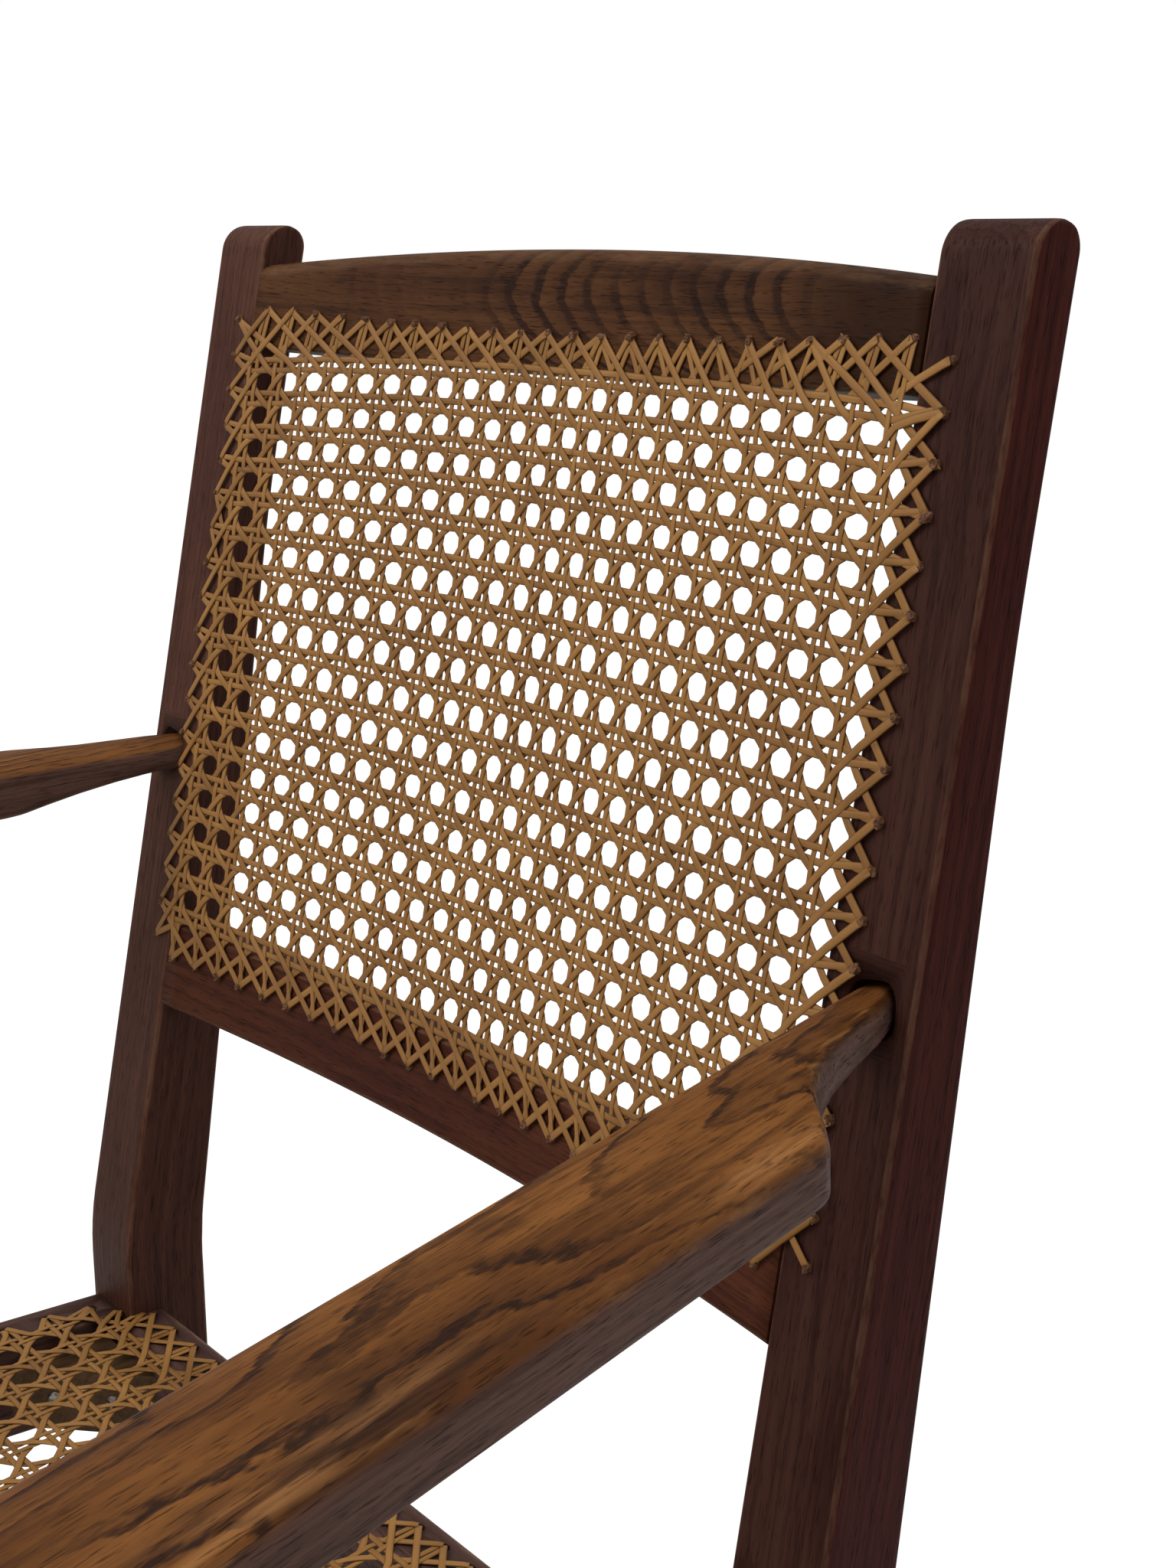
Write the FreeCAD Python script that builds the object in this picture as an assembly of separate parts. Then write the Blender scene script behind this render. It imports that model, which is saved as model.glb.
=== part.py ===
import FreeCAD, Part
import math
import os
from FreeCAD import Vector

# Open armchair of dark-stained oak with a hand-caned back and seat.
# Millimetres, +Z up, the sitter faces -Y, and the chair is symmetric about X = 0.
# The origin is at the bottom centre of the whole chair.

# Seat frame
seat_height = 405.0
seat_rail_thick = 26.0
seat_rail_depth = 46.0
rail_reveal = 2.0
front_reveal = 4.0
side_splay = 8.0
seat_front = 480.0
rear_rail_back = 42.0

# Back, measured along the raked front plane from the middle of the cane
back_rake = 12.0
panel_rise = 320.0
post_span = 461.0
post_width = 37.0
post_top = 185.0
post_bend = 290.0
post_taper_start = 60.0
post_depth_top = 22.0
post_depth_seat = 40.0
post_front_round = 13.0
post_rear_round = 9.0
post_bend_radius = 150.0
post_taper_radius = 500.0

# Rear legs below the seat
leg_knee_drop = 75.0
rear_foot_sweep = 38.0
rear_foot_depth = 30.0
leg_knee_radius = 120.0

# Back rails
rail_bow = 16.0
back_rail_thick = 20.0
crest_end_top = 166.0
crest_rise = 11.0
crest_end_low = 135.0
crest_dip = 4.0
lower_rail_top = 136.0
lower_rail_low = 175.0

# Tenons
tenon_thick = 9.0
tenon_shoulder = 7.0
post_tenon_length = 24.0
tenon_gap = 1.5
back_tenon_length = 20.0
back_tenon_thick = 8.0

# Front legs
front_leg_size = 38.0
front_foot_size = 30.0
arm_post_top = 32.0
arm_post_radius = 90.0
arm_post_start = 8.0
arm_tenon_diameter = 16.0
arm_tenon_length = 13.0

# Arms, along the inner edge from the back's front plane
arm_drop = 53.0
arm_slope = 1.7
arm_splay = 9.6
arm_inset = 9.0
arm_length = 505.0
arm_width = 50.0
arm_thick = 21.7
arm_edge_drop = 4.0
arm_crown = 2.5
arm_neck_thick = 12.6
arm_neck_width = 19.0
arm_neck_end = 22.0
arm_cove_start = 72.0
arm_cove_width = 26.0
arm_shoulder = 101.0
arm_tip_width = 17.0
arm_tip_start = 2.0
arm_end_round = 18.0
arm_shoulder_round = 10.0
arm_cove_round = 30.0
arm_neck_round = 60.0
arm_tip_round = 7.0
arm_edge_round = 4.0
socket_gap = 2.0
socket_top_gap = 3.0

# Cane
hole_margin = 12.5
back_hole_top = 148.0
back_hole_low = 148.0
cane_thick = 2.0
back_flats = 8
back_gap_columns = 16
back_gap_rows = 12
seat_gap_pitch = 35.0
gap_share = 0.52
corner_cut_share = 0.29
seat_edge_margin = 4.0

# Stretchers
stretcher_height = 150.0
stretcher_thick = 18.0
stretcher_depth = 28.0
stretcher_tenon = 16.0
stretcher_tenon_thick = 9.0
cross_share = 0.5

# Corner blocks and fasteners
block_leg = 46.0
block_depth = 30.0
block_drop = 10.0
screw_diameter = 4.0
screw_head_diameter = 8.0
screw_head_depth = 3.0
pin_diameter = 7.0
arm_screw_bite = 20.0
arm_screw_length = 36.0

# Overrun of every cutter past the face it goes through, and the least length of an edge
overrun = 1.0
least_edge = 0.001

# Worked-out places
rake = math.radians(back_rake)
half_span = post_span / 2.0
post_inner = half_span - post_width
arm_inner_half = post_inner + arm_inset
panel_height = seat_height + panel_rise
leg_front = -post_bend * math.sin(rake)
leg_back = leg_front + post_depth_seat
rear_rail_front = rear_rail_back + seat_rail_thick
leg_rear_face = -(seat_front - front_leg_size)
splay_tan = math.tan(math.radians(side_splay))
arm_base_height = panel_height - arm_drop


def rail_outer(y):
    """Half-width of the seat frame's outer edge at a place y."""
    return half_span - rail_reveal + (leg_front - y) * splay_tan


front_leg_outer = rail_outer(leg_rear_face) + rail_reveal
front_leg_inner = front_leg_outer - front_leg_size


def back_point(n, v):
    """A point of the back's side view: n behind its front plane, v up along it."""
    return (n * math.cos(rake) + v * math.sin(rake),
            panel_height + v * math.cos(rake) - n * math.sin(rake))


def rounded_wire(corners, place):
    """Closed wire through (a, b, radius) corners, each rounded by a tangent arc."""
    count = len(corners)
    starts = []
    ends = []
    middles = []
    for k in range(count):
        a, b, radius = corners[k]
        here = Vector(a, b, 0)
        before = Vector(*corners[k - 1][:2], 0)
        after = Vector(*corners[(k + 1) % count][:2], 0)
        back = (before - here).normalize()
        ahead = (after - here).normalize()
        half = back.getAngle(ahead) / 2.0
        if radius == 0:
            starts.append(here)
            ends.append(here)
            middles.append(None)
            continue
        reach = radius / math.tan(half)
        centre = here + (back + ahead).normalize() * (radius / math.sin(half))
        starts.append(here + back * reach)
        ends.append(here + ahead * reach)
        middles.append(centre + (here - centre).normalize() * radius)
    edges = []
    for k in range(count):
        if middles[k] is not None:
            edges.append(Part.Arc(place(starts[k]), place(middles[k]), place(ends[k])).toShape())
        following = starts[(k + 1) % count]
        if (following - ends[k]).Length > least_edge:
            edges.append(Part.LineSegment(place(ends[k]), place(following)).toShape())
    return Part.Wire(edges)



def in_plan(point):
    return Vector(point.x, point.y, 0)


def in_side_view(point):
    return Vector(0, point.x, point.y)


def in_front_view(point):
    return Vector(point.x, 0, point.y)


def prism(corners, place, start, length):
    """Solid of a rounded outline, drawn out square to its plane from start."""
    wire = rounded_wire(corners, place)
    across = place(Vector(1, 0, 0)).cross(place(Vector(0, 1, 0)))
    wire.translate(across * start)
    return Part.Face(wire).extrude(across * length)


def block(x0, x1, y0, y1, z0, z1):
    return Part.makeBox(x1 - x0, y1 - y0, z1 - z0, Vector(x0, y0, z0))


def cylinder(radius, length, start, direction):
    return Part.makeCylinder(radius, length, start, direction)


def mirrored(shape):
    return shape.mirror(Vector(0, 0, 0), Vector(1, 0, 0))


def onto_back(shape):
    """Moves a shape drawn as (x, n, v) onto the raked back."""
    placed = shape.copy()
    placed.rotate(Vector(0, 0, 0), Vector(1, 0, 0), -back_rake)
    placed.translate(Vector(0, 0, panel_height))
    return placed


def onto_arm(shape):
    """Moves a shape drawn as (across, -along, height) to the right arm's place."""
    placed = shape.copy()
    placed.rotate(Vector(0, 0, 0), Vector(1, 0, 0), arm_slope)
    placed.rotate(Vector(0, 0, 0), Vector(0, 0, 1), arm_splay)
    placed.translate(Vector(arm_inner_half, 0, arm_base_height))
    return placed


# Right back post, from the floor to its rounded top
def make_post():
    front_top = back_point(0, post_top)
    rear_top = back_point(post_depth_top, post_top)
    taper = back_point(post_depth_top, post_taper_start)
    bend = back_point(0, -post_bend)
    knee = seat_height - leg_knee_drop
    foot_front = leg_front + rear_foot_sweep
    corners = [
        (foot_front, 0, 0),
        (foot_front + rear_foot_depth, 0, 0),
        (leg_back, knee, leg_knee_radius),
        (leg_back, bend[1], post_bend_radius),
        (taper[0], taper[1], post_taper_radius),
        (rear_top[0], rear_top[1], post_rear_round),
        (front_top[0], front_top[1], post_front_round),
        (bend[0], bend[1], post_bend_radius),
        (leg_front, knee, leg_knee_radius),
    ]
    return prism(corners, in_side_view, post_inner, post_width)


def bowed_band(low, high, thick, front, half):
    """Band that is bowed backwards in plan, drawn as (x, n, v)."""
    face_points = [(-half, front), (0, rail_bow + front), (half, front)]
    near = [Vector(x, n, low) for x, n in face_points]
    far = [Vector(x, n + thick, low) for x, n in face_points]
    edges = [
        Part.Arc(*near).toShape(),
        Part.LineSegment(near[2], far[2]).toShape(),
        Part.Arc(*reversed(far)).toShape(),
        Part.LineSegment(far[0], near[0]).toShape(),
    ]
    return Part.Face(Part.Wire(edges)).extrude(Vector(0, 0, high - low))


def make_crest_rail():
    high = crest_end_top + crest_rise
    low = crest_end_low - crest_dip
    band = bowed_band(low - overrun, high + overrun, back_rail_thick, 0, post_inner)
    near = -overrun
    far = rail_bow + back_rail_thick + overrun
    left = -post_inner
    edges = [
        Part.Arc(Vector(left, near, crest_end_low), Vector(0, near, low),
                 Vector(post_inner, near, crest_end_low)).toShape(),
        Part.LineSegment(Vector(post_inner, near, crest_end_low),
                         Vector(post_inner, near, crest_end_top)).toShape(),
        Part.Arc(Vector(post_inner, near, crest_end_top), Vector(0, near, high),
                 Vector(left, near, crest_end_top)).toShape(),
        Part.LineSegment(Vector(left, near, crest_end_top),
                         Vector(left, near, crest_end_low)).toShape(),
    ]
    elevation = Part.Face(Part.Wire(edges)).extrude(Vector(0, far - near, 0))
    return band.common(elevation)


def make_lower_rail():
    return bowed_band(-lower_rail_low, -lower_rail_top, back_rail_thick, 0, post_inner)


def back_tenon(low, high, side):
    """Tenon of a back rail, drawn as (x, n, v)."""
    start = post_inner - overrun
    end = post_inner + back_tenon_length
    near = (back_rail_thick - back_tenon_thick) / 2.0
    x0, x1 = (start, end) if side > 0 else (-end, -start)
    return block(x0, x1, near, near + back_tenon_thick, low + tenon_shoulder, high - tenon_shoulder)


# Right arm
def arm_outline(extra=0.0):
    """Corners of the arm in plan as (across, -along, radius)."""
    return [
        (0, arm_tip_start, arm_tip_round / 2.0),
        (0, -arm_length, arm_end_round),
        (arm_width, -arm_length, arm_end_round),
        (arm_width, -arm_shoulder, arm_shoulder_round),
        (arm_cove_width + extra, -arm_cove_start, arm_cove_round),
        (arm_neck_width + extra, -arm_neck_end, arm_neck_round / 2.0),
        (arm_tip_width + extra, arm_tip_start, arm_tip_round),
    ]


def make_arm():
    deep = arm_thick + overrun
    edge_cut = arm_edge_round * (1 - math.sin(math.pi / 4))
    plan = prism(arm_outline(), in_plan, -deep, deep + arm_thick)
    section_edges = [
        Part.LineSegment(Vector(0, 0, -arm_thick), Vector(0, 0, -arm_edge_round)).toShape(),
        Part.Arc(Vector(0, 0, -arm_edge_round), Vector(edge_cut, 0, -edge_cut),
                 Vector(arm_edge_round, 0, 0)).toShape(),
        Part.Arc(Vector(arm_edge_round, 0, 0), Vector(arm_width / 2.0, 0, arm_crown),
                 Vector(arm_width, 0, -arm_edge_drop)).toShape(),
        Part.LineSegment(Vector(arm_width, 0, -arm_edge_drop), Vector(arm_width, 0, -arm_thick)).toShape(),
        Part.LineSegment(Vector(arm_width, 0, -arm_thick), Vector(0, 0, -arm_thick)).toShape(),
    ]
    section = Part.Face(Part.Wire(section_edges))
    section.translate(Vector(0, arm_tip_start + overrun, 0))
    crowned = section.extrude(Vector(0, -(arm_length + arm_tip_start + overrun * 2), 0))
    under = [
        (arm_tip_start + overrun, arm_thick, 0),
        (arm_tip_start + overrun, -arm_neck_thick, 0),
        (-arm_neck_end, -arm_neck_thick, arm_neck_round),
        (-arm_shoulder, -arm_thick, arm_neck_round),
        (-arm_length - overrun, -arm_thick, 0),
        (-arm_length - overrun, arm_thick, 0),
    ]
    side = prism(under, in_side_view, -overrun, arm_width + overrun * 2)
    return onto_arm(plan.common(crowned).common(side))


def make_socket():
    """Round-ended recess for the arm's tip, with room above and outside it."""
    reach = prism(arm_outline(socket_gap), in_plan, -arm_neck_thick, arm_neck_thick + socket_top_gap)
    return onto_arm(reach)


# Seat frame
def make_side_rail():
    near = leg_rear_face
    far = leg_front
    corners = [
        (rail_outer(far) - seat_rail_thick, far, 0),
        (rail_outer(near) - seat_rail_thick, near, 0),
        (rail_outer(near), near, 0),
        (rail_outer(far), far, 0),
    ]
    return prism(corners, in_plan, seat_height - seat_rail_depth, seat_rail_depth)


def side_rail_middle(y):
    return rail_outer(y) - seat_rail_thick / 2.0


def make_side_tenon(y, direction):
    """Tenon of a side rail that enters the leg whose face is at y."""
    middle = side_rail_middle(y)
    y0, y1 = (y - overrun, y + post_tenon_length) if direction > 0 else (y - post_tenon_length, y + overrun)
    return block(middle - tenon_thick / 2.0, middle + tenon_thick / 2.0, y0, y1,
                 seat_height - seat_rail_depth + tenon_shoulder, seat_height - tenon_shoulder)


def make_cross_rail(half, y_back):
    return block(-half, half, y_back - seat_rail_thick, y_back,
                 seat_height - seat_rail_depth, seat_height)


def make_cross_tenon(half, y_back, middle):
    """Right-hand tenon of the rear or front rail, short of the side rail's tenon."""
    end = middle - tenon_thick / 2.0 - tenon_gap
    y_middle = y_back - seat_rail_thick / 2.0
    return block(half - overrun, end, y_middle - tenon_thick / 2.0, y_middle + tenon_thick / 2.0,
                 seat_height - seat_rail_depth + tenon_shoulder, seat_height - tenon_shoulder)


# Right front leg, swept outwards above the seat to carry the arm
leg_centre_y = leg_rear_face - front_leg_size / 2.0
arm_along = (-leg_centre_y) / math.cos(math.radians(arm_splay))
arm_centre_x = (arm_inner_half - leg_centre_y * math.tan(math.radians(arm_splay))
                + arm_width / 2.0 / math.cos(math.radians(arm_splay)))
arm_under_height = arm_base_height - arm_along * math.sin(math.radians(arm_slope)) - arm_thick


def make_front_leg():
    top = arm_under_height + arm_thick / 2.0
    knee = seat_height - leg_knee_drop
    start = seat_height + arm_post_start
    top_in = arm_centre_x - arm_post_top / 2.0
    top_out = arm_centre_x + arm_post_top / 2.0
    foot_step = (front_leg_size - front_foot_size) / 2.0
    corners = [
        (front_leg_inner + foot_step, 0, 0),
        (front_leg_outer - foot_step, 0, 0),
        (front_leg_outer, knee, 0),
        (front_leg_outer, start, arm_post_radius),
        (top_out, top, 0),
        (top_in, top, 0),
        (front_leg_inner, start, arm_post_radius),
        (front_leg_inner, knee, 0),
    ]
    leg = prism(corners, in_front_view, seat_front - front_leg_size, front_leg_size)
    taper = [
        (-seat_front + foot_step, 0, 0),
        (leg_rear_face - foot_step, 0, 0),
        (leg_rear_face, knee, 0),
        (leg_rear_face, top + overrun, 0),
        (-seat_front, top + overrun, 0),
        (-seat_front, knee, 0),
    ]
    return leg.common(prism(taper, in_side_view, 0, front_leg_outer + arm_width * 2))


def make_arm_tenon():
    foot = Vector(arm_centre_x, leg_centre_y, arm_under_height - arm_thick)
    return cylinder(arm_tenon_diameter / 2.0, arm_thick + arm_tenon_length, foot, Vector(0, 0, 1))


# Stretchers
rear_leg_x = half_span - post_width / 2.0
front_leg_x = front_leg_outer - front_leg_size / 2.0
stretcher_rear = leg_front + rear_foot_depth
stretcher_front = leg_centre_y


def side_bar(thick, depth, start, end):
    """Level bar between the two right-hand legs, from y = start to y = end."""
    slope = (front_leg_x - rear_leg_x) / (stretcher_front - stretcher_rear)
    x0 = rear_leg_x + (start - stretcher_rear) * slope
    x1 = rear_leg_x + (end - stretcher_rear) * slope
    half = thick / 2.0
    corners = [(x0 - half, start, 0), (x1 - half, end, 0), (x1 + half, end, 0), (x0 + half, start, 0)]
    return prism(corners, in_plan, stretcher_height - depth / 2.0, depth)


def stretcher_middle(y):
    slope = (front_leg_x - rear_leg_x) / (stretcher_front - stretcher_rear)
    return rear_leg_x + (y - stretcher_rear) * slope


# Cane nets
def octagon(x, y, size, place):
    """Eight-cornered hole of the weave round the point (x, y)."""
    half = size / 2.0
    cut = size * corner_cut_share
    corners = [
        (-half, -half + cut), (-half + cut, -half), (half - cut, -half), (half, -half + cut),
        (half, half - cut), (half - cut, half), (-half + cut, half), (-half, half - cut),
    ]
    points = [place(Vector(x + a, y + b, 0)) for a, b in corners]
    return Part.makePolygon(points + points[:1])


def make_cane_back():
    """Woven panel that lies on the front faces of the posts and rails."""
    edge = post_inner + hole_margin
    steps = [post_inner * (2.0 * k / back_flats - 1) for k in range(back_flats + 1)]
    near = [(x, rail_bow * (1 - (x / post_inner) ** 2)) for x in steps]
    near = [(-edge, 0)] + near + [(edge, 0)]
    profile = [Vector(x, n, -back_hole_low) for x, n in near]
    profile += [Vector(x, n - cane_thick, -back_hole_low) for x, n in reversed(near)]
    face = Part.Face(Part.makePolygon(profile + profile[:1]))
    panel = face.extrude(Vector(0, 0, back_hole_low + back_hole_top))
    width = post_inner * 2 / back_gap_columns
    height = (crest_end_low - crest_dip + lower_rail_top) / back_gap_rows
    low = -lower_rail_top
    faces = []
    for row in range(back_gap_rows):
        for column in range(back_gap_columns):
            x = -post_inner + (column + 0.5) * width
            v = low + (row + 0.5) * height
            faces.append(Part.Face(octagon(x, v, width * gap_share, in_front_view)))
    holes = Part.makeCompound(faces)
    holes.translate(Vector(0, -cane_thick - overrun, 0))
    cutter = holes.extrude(Vector(0, rail_bow + cane_thick * 2 + overrun * 2, 0))
    return onto_back(panel.cut(cutter))


def seat_side_line(y):
    return rail_outer(y) - hole_margin / math.cos(math.radians(side_splay))


def edge_distance(point, corners):
    """Distance from a point inside a convex outline, given anticlockwise, to its nearest side."""
    distances = []
    for k in range(len(corners)):
        side = (corners[k] - corners[k - 1]).normalize()
        distances.append(side.cross(point - corners[k - 1]).z)
    return min(distances)


def make_cane_seat():
    """Woven panel on the tops of the seat rails, cut across the corners at the legs."""
    rear = -rear_rail_back - hole_margin
    front = -(seat_front - front_reveal - hole_margin)
    rear_cut_x = post_inner - (rear - leg_front)
    front_cut_x = front_leg_inner - (leg_rear_face - front)
    rear_side_y = leg_front - (seat_side_line(leg_front) - post_inner) / (1 - splay_tan)
    front_side_y = leg_rear_face + (seat_side_line(leg_rear_face) - front_leg_inner) / (1 + splay_tan)
    right = [
        (front_cut_x, front), (seat_side_line(front_side_y), front_side_y),
        (seat_side_line(rear_side_y), rear_side_y), (rear_cut_x, rear),
    ]
    left = [(-x, y) for x, y in reversed(right)]
    corners = [Vector(x, y, 0) for x, y in right + left]
    outline = Part.makePolygon(corners + corners[:1])
    holes = []
    keep_off = seat_gap_pitch * gap_share / 2.0 + seat_edge_margin
    rows = int((rear - front - keep_off * 2) / seat_gap_pitch) + 1
    columns = int(seat_side_line(front) / seat_gap_pitch)
    first = (rear + front) / 2.0 - (rows - 1) / 2.0 * seat_gap_pitch
    for row in range(rows):
        for column in range(-columns, columns + 1):
            middle = Vector(column * seat_gap_pitch, first + row * seat_gap_pitch, 0)
            if edge_distance(middle, corners) >= keep_off:
                holes.append(octagon(middle.x, middle.y, seat_gap_pitch * gap_share, in_plan))
    face = Part.makeFace([outline] + holes, "Part::FaceMakerBullseye")
    net = face.extrude(Vector(0, 0, cane_thick))
    net.translate(Vector(0, 0, seat_height))
    return net


# Corner block, drawn for the right-hand side
def make_corner_block(corner_y, toward_y):
    """Triangular block between a cross rail, whose face is at corner_y, and the side rail."""
    far_y = corner_y + toward_y * block_leg
    corner_x = rail_outer(corner_y) - seat_rail_thick
    corners = [
        (corner_x, corner_y, 0),
        (corner_x - block_leg, corner_y, 0),
        (rail_outer(far_y) - seat_rail_thick, far_y, 0),
    ]
    top = seat_height - block_drop
    return prism(corners, in_plan, top - block_depth, block_depth)


def wood_screw(head, direction, length):
    """Round-headed screw: its head's outer face is at head, and it points along direction."""
    cap = cylinder(screw_head_diameter / 2.0, screw_head_depth, head, direction)
    return cap.fuse(cylinder(screw_diameter / 2.0, length, head, direction))


def screw_access(head, direction, length):
    """Counterbore by which a screw's head goes in, from its seat back by a length."""
    start = head - direction * length
    return cylinder(screw_head_diameter / 2.0, length + screw_head_depth, start, direction)


def make_pin(y):
    """Pin through a side rail's tenon, flush with the outer face of the leg or post."""
    outer = half_span if y > leg_front else front_leg_outer
    end = side_rail_middle(y) - tenon_thick / 2.0
    start = Vector(end, y, seat_height - seat_rail_depth / 2.0)
    return cylinder(pin_diameter / 2.0, outer - end, start, Vector(1, 0, 0))


def group(shapes):
    return Part.makeCompound([solid for shape in shapes for solid in shape.Solids])


def one_solid(shape):
    """The single solid of a result, with its split faces joined."""
    refined = shape.removeSplitter()
    return refined.Solids[0] if len(refined.Solids) == 1 else refined


def build():
    post = make_post()
    arm = make_arm()
    front_leg = make_front_leg()
    side_rail = make_side_rail()
    nodes = {}

    # Arm into the post and onto the front leg
    post = post.cut(make_socket())
    arm_tenon = make_arm_tenon()
    front_leg = front_leg.cut(arm).fuse(arm_tenon)
    arm = arm.cut(arm_tenon)

    # Back rails into the posts
    crest = make_crest_rail()
    lower = make_lower_rail()
    crest_pair = [back_tenon(crest_end_low, crest_end_top, side) for side in (1, -1)]
    lower_pair = [back_tenon(-lower_rail_low, -lower_rail_top, side) for side in (1, -1)]
    crest = onto_back(crest.fuse(crest_pair))
    lower = onto_back(lower.fuse(lower_pair))
    post = post.cut([onto_back(crest_pair[0]), onto_back(lower_pair[0])])

    # Seat rails into the posts and legs
    rear_tenon = make_side_tenon(leg_front, 1)
    front_tenon = make_side_tenon(leg_rear_face, -1)
    side_rail = side_rail.fuse([rear_tenon, front_tenon])
    front_back_face = -(seat_front - front_reveal - seat_rail_thick)
    rear_cross = make_cross_tenon(post_inner, -rear_rail_back, side_rail_middle(leg_front))
    front_cross = make_cross_tenon(front_leg_inner, front_back_face, side_rail_middle(leg_rear_face))
    rear_rail = make_cross_rail(post_inner, -rear_rail_back).fuse([rear_cross, mirrored(rear_cross)])
    front_rail = make_cross_rail(front_leg_inner, front_back_face).fuse([front_cross, mirrored(front_cross)])
    post = post.cut([rear_tenon, rear_cross])
    front_leg = front_leg.cut([front_tenon, front_cross])
    nodes["seat_rail_rear"] = rear_rail
    nodes["seat_rail_front"] = front_rail

    # Stretchers
    bar = side_bar(stretcher_thick, stretcher_depth, stretcher_front, stretcher_rear)
    bar = bar.cut([post, front_leg])
    bar = max(bar.Solids, key=lambda solid: solid.Volume)
    bar_tenon = side_bar(stretcher_tenon_thick, stretcher_depth - tenon_shoulder * 2,
                         bar.BoundBox.YMin - stretcher_tenon, bar.BoundBox.YMax + stretcher_tenon)
    side_stretcher = bar.fuse(bar_tenon)
    post = post.cut(bar_tenon)
    front_leg = front_leg.cut(bar_tenon)
    cross_y = stretcher_rear + (stretcher_front - stretcher_rear) * cross_share
    cross_half = stretcher_middle(cross_y)
    cross = block(-cross_half, cross_half, cross_y - stretcher_thick / 2.0, cross_y + stretcher_thick / 2.0,
                  stretcher_height - stretcher_depth / 2.0, stretcher_height + stretcher_depth / 2.0)
    cross = cross.cut([bar, mirrored(bar)])
    cross = max(cross.Solids, key=lambda solid: solid.Volume)
    cross_tenon = block(-cross_half, cross_half,
                        cross_y - stretcher_tenon_thick / 2.0, cross_y + stretcher_tenon_thick / 2.0,
                        stretcher_height - stretcher_depth / 2.0 + tenon_shoulder,
                        stretcher_height + stretcher_depth / 2.0 - tenon_shoulder)
    side_stretcher = side_stretcher.cut(cross_tenon)
    nodes["cross_stretcher"] = cross.fuse(cross_tenon)

    # Pins through the side rail's tenons
    rear_pin = make_pin(leg_front + post_tenon_length / 2.0)
    front_pin = make_pin(leg_rear_face - post_tenon_length / 2.0)
    post = post.cut(rear_pin)
    front_leg = front_leg.cut(front_pin)
    side_rail = side_rail.cut([rear_pin, front_pin])
    nodes["rail_tenon_pins"] = group([rear_pin, front_pin, mirrored(rear_pin), mirrored(front_pin)])

    # Screw from behind the post into the arm's tip
    line_start = onto_arm(Part.Vertex(Vector(arm_tip_width / 2.0, 0, -arm_neck_thick / 2.0))).Point
    line_end = onto_arm(Part.Vertex(Vector(arm_tip_width / 2.0, -arm_length, -arm_neck_thick / 2.0))).Point
    toward = (line_end - line_start).normalize()
    head = line_start + toward * (arm_screw_bite - arm_screw_length)
    arm_screw = wood_screw(head, toward, arm_screw_length)
    post = post.cut([arm_screw, screw_access(head, toward, arm_screw_length)])
    arm = arm.cut(arm_screw)
    nodes["arm_screws"] = group([arm_screw, mirrored(arm_screw)])

    # Corner blocks, glued into the angles of the seat frame
    for where, corner_y, toward_y in (("rear", -rear_rail_front, -1), ("front", front_back_face, 1)):
        corner = make_corner_block(corner_y, toward_y).cut([post, front_leg])
        nodes["corner_block_" + where + "_right"] = corner
        nodes["corner_block_" + where + "_left"] = mirrored(corner)

    # Cane
    nodes["cane_back"] = make_cane_back()
    nodes["cane_seat"] = make_cane_seat()

    # The rest, the mirrored pairs last
    nodes["crest_rail"] = crest
    nodes["lower_back_rail"] = lower
    pairs = {
        "back_post": post,
        "arm": arm,
        "front_leg": front_leg,
        "seat_rail": side_rail,
        "side_stretcher": side_stretcher,
    }
    for name, shape in pairs.items():
        nodes[name + "_right"] = shape
        nodes[name + "_left"] = mirrored(shape)
    return nodes


nodes = build()
whole = Part.makeCompound(list(nodes.values())).optimalBoundingBox(False)
shift = Vector(-whole.Center.x, -whole.Center.y, -whole.ZMin)
os.makedirs("parts", exist_ok=True)
for name, shape in sorted(nodes.items()):
    kept = one_solid(shape)
    kept.translate(shift)
    kept.exportStep(os.path.join("parts", name + ".step"))
    print(name, len(kept.Solids), "solid, volume", round(kept.Volume), kept.isValid())
print("shift", shift, "size", whole.XLength, whole.YLength, whole.ZLength)
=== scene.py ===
import math
import random
import bmesh
import bpy
from mathutils import Matrix, Vector


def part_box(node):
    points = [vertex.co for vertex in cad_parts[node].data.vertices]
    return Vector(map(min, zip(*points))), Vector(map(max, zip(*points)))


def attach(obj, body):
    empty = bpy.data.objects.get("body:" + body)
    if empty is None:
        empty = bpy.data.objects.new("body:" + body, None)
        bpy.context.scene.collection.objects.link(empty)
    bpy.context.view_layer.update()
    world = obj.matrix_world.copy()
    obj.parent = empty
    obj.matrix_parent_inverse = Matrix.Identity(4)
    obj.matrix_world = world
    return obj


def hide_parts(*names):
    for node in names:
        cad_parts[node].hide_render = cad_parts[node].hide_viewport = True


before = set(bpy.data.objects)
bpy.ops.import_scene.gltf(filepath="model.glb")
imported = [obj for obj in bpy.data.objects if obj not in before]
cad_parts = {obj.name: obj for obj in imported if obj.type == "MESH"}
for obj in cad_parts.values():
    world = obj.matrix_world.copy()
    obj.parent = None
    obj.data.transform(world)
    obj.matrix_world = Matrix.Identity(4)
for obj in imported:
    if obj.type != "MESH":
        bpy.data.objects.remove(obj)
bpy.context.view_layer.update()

# Millimetres in the chair's own drawing, where y = 0 is the back's front plane at the cane's middle height
MM = 0.001
TURN = math.pi * 2.0
QUARTER = math.pi / 2.0

# Seat frame
seat_height = 405.0
seat_rail_thick = 26.0
seat_rail_depth = 46.0
seat_front = 480.0
front_reveal = 4.0
rail_reveal = 2.0
rear_rail_back = 42.0
side_splay = math.tan(math.radians(8.0))

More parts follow.
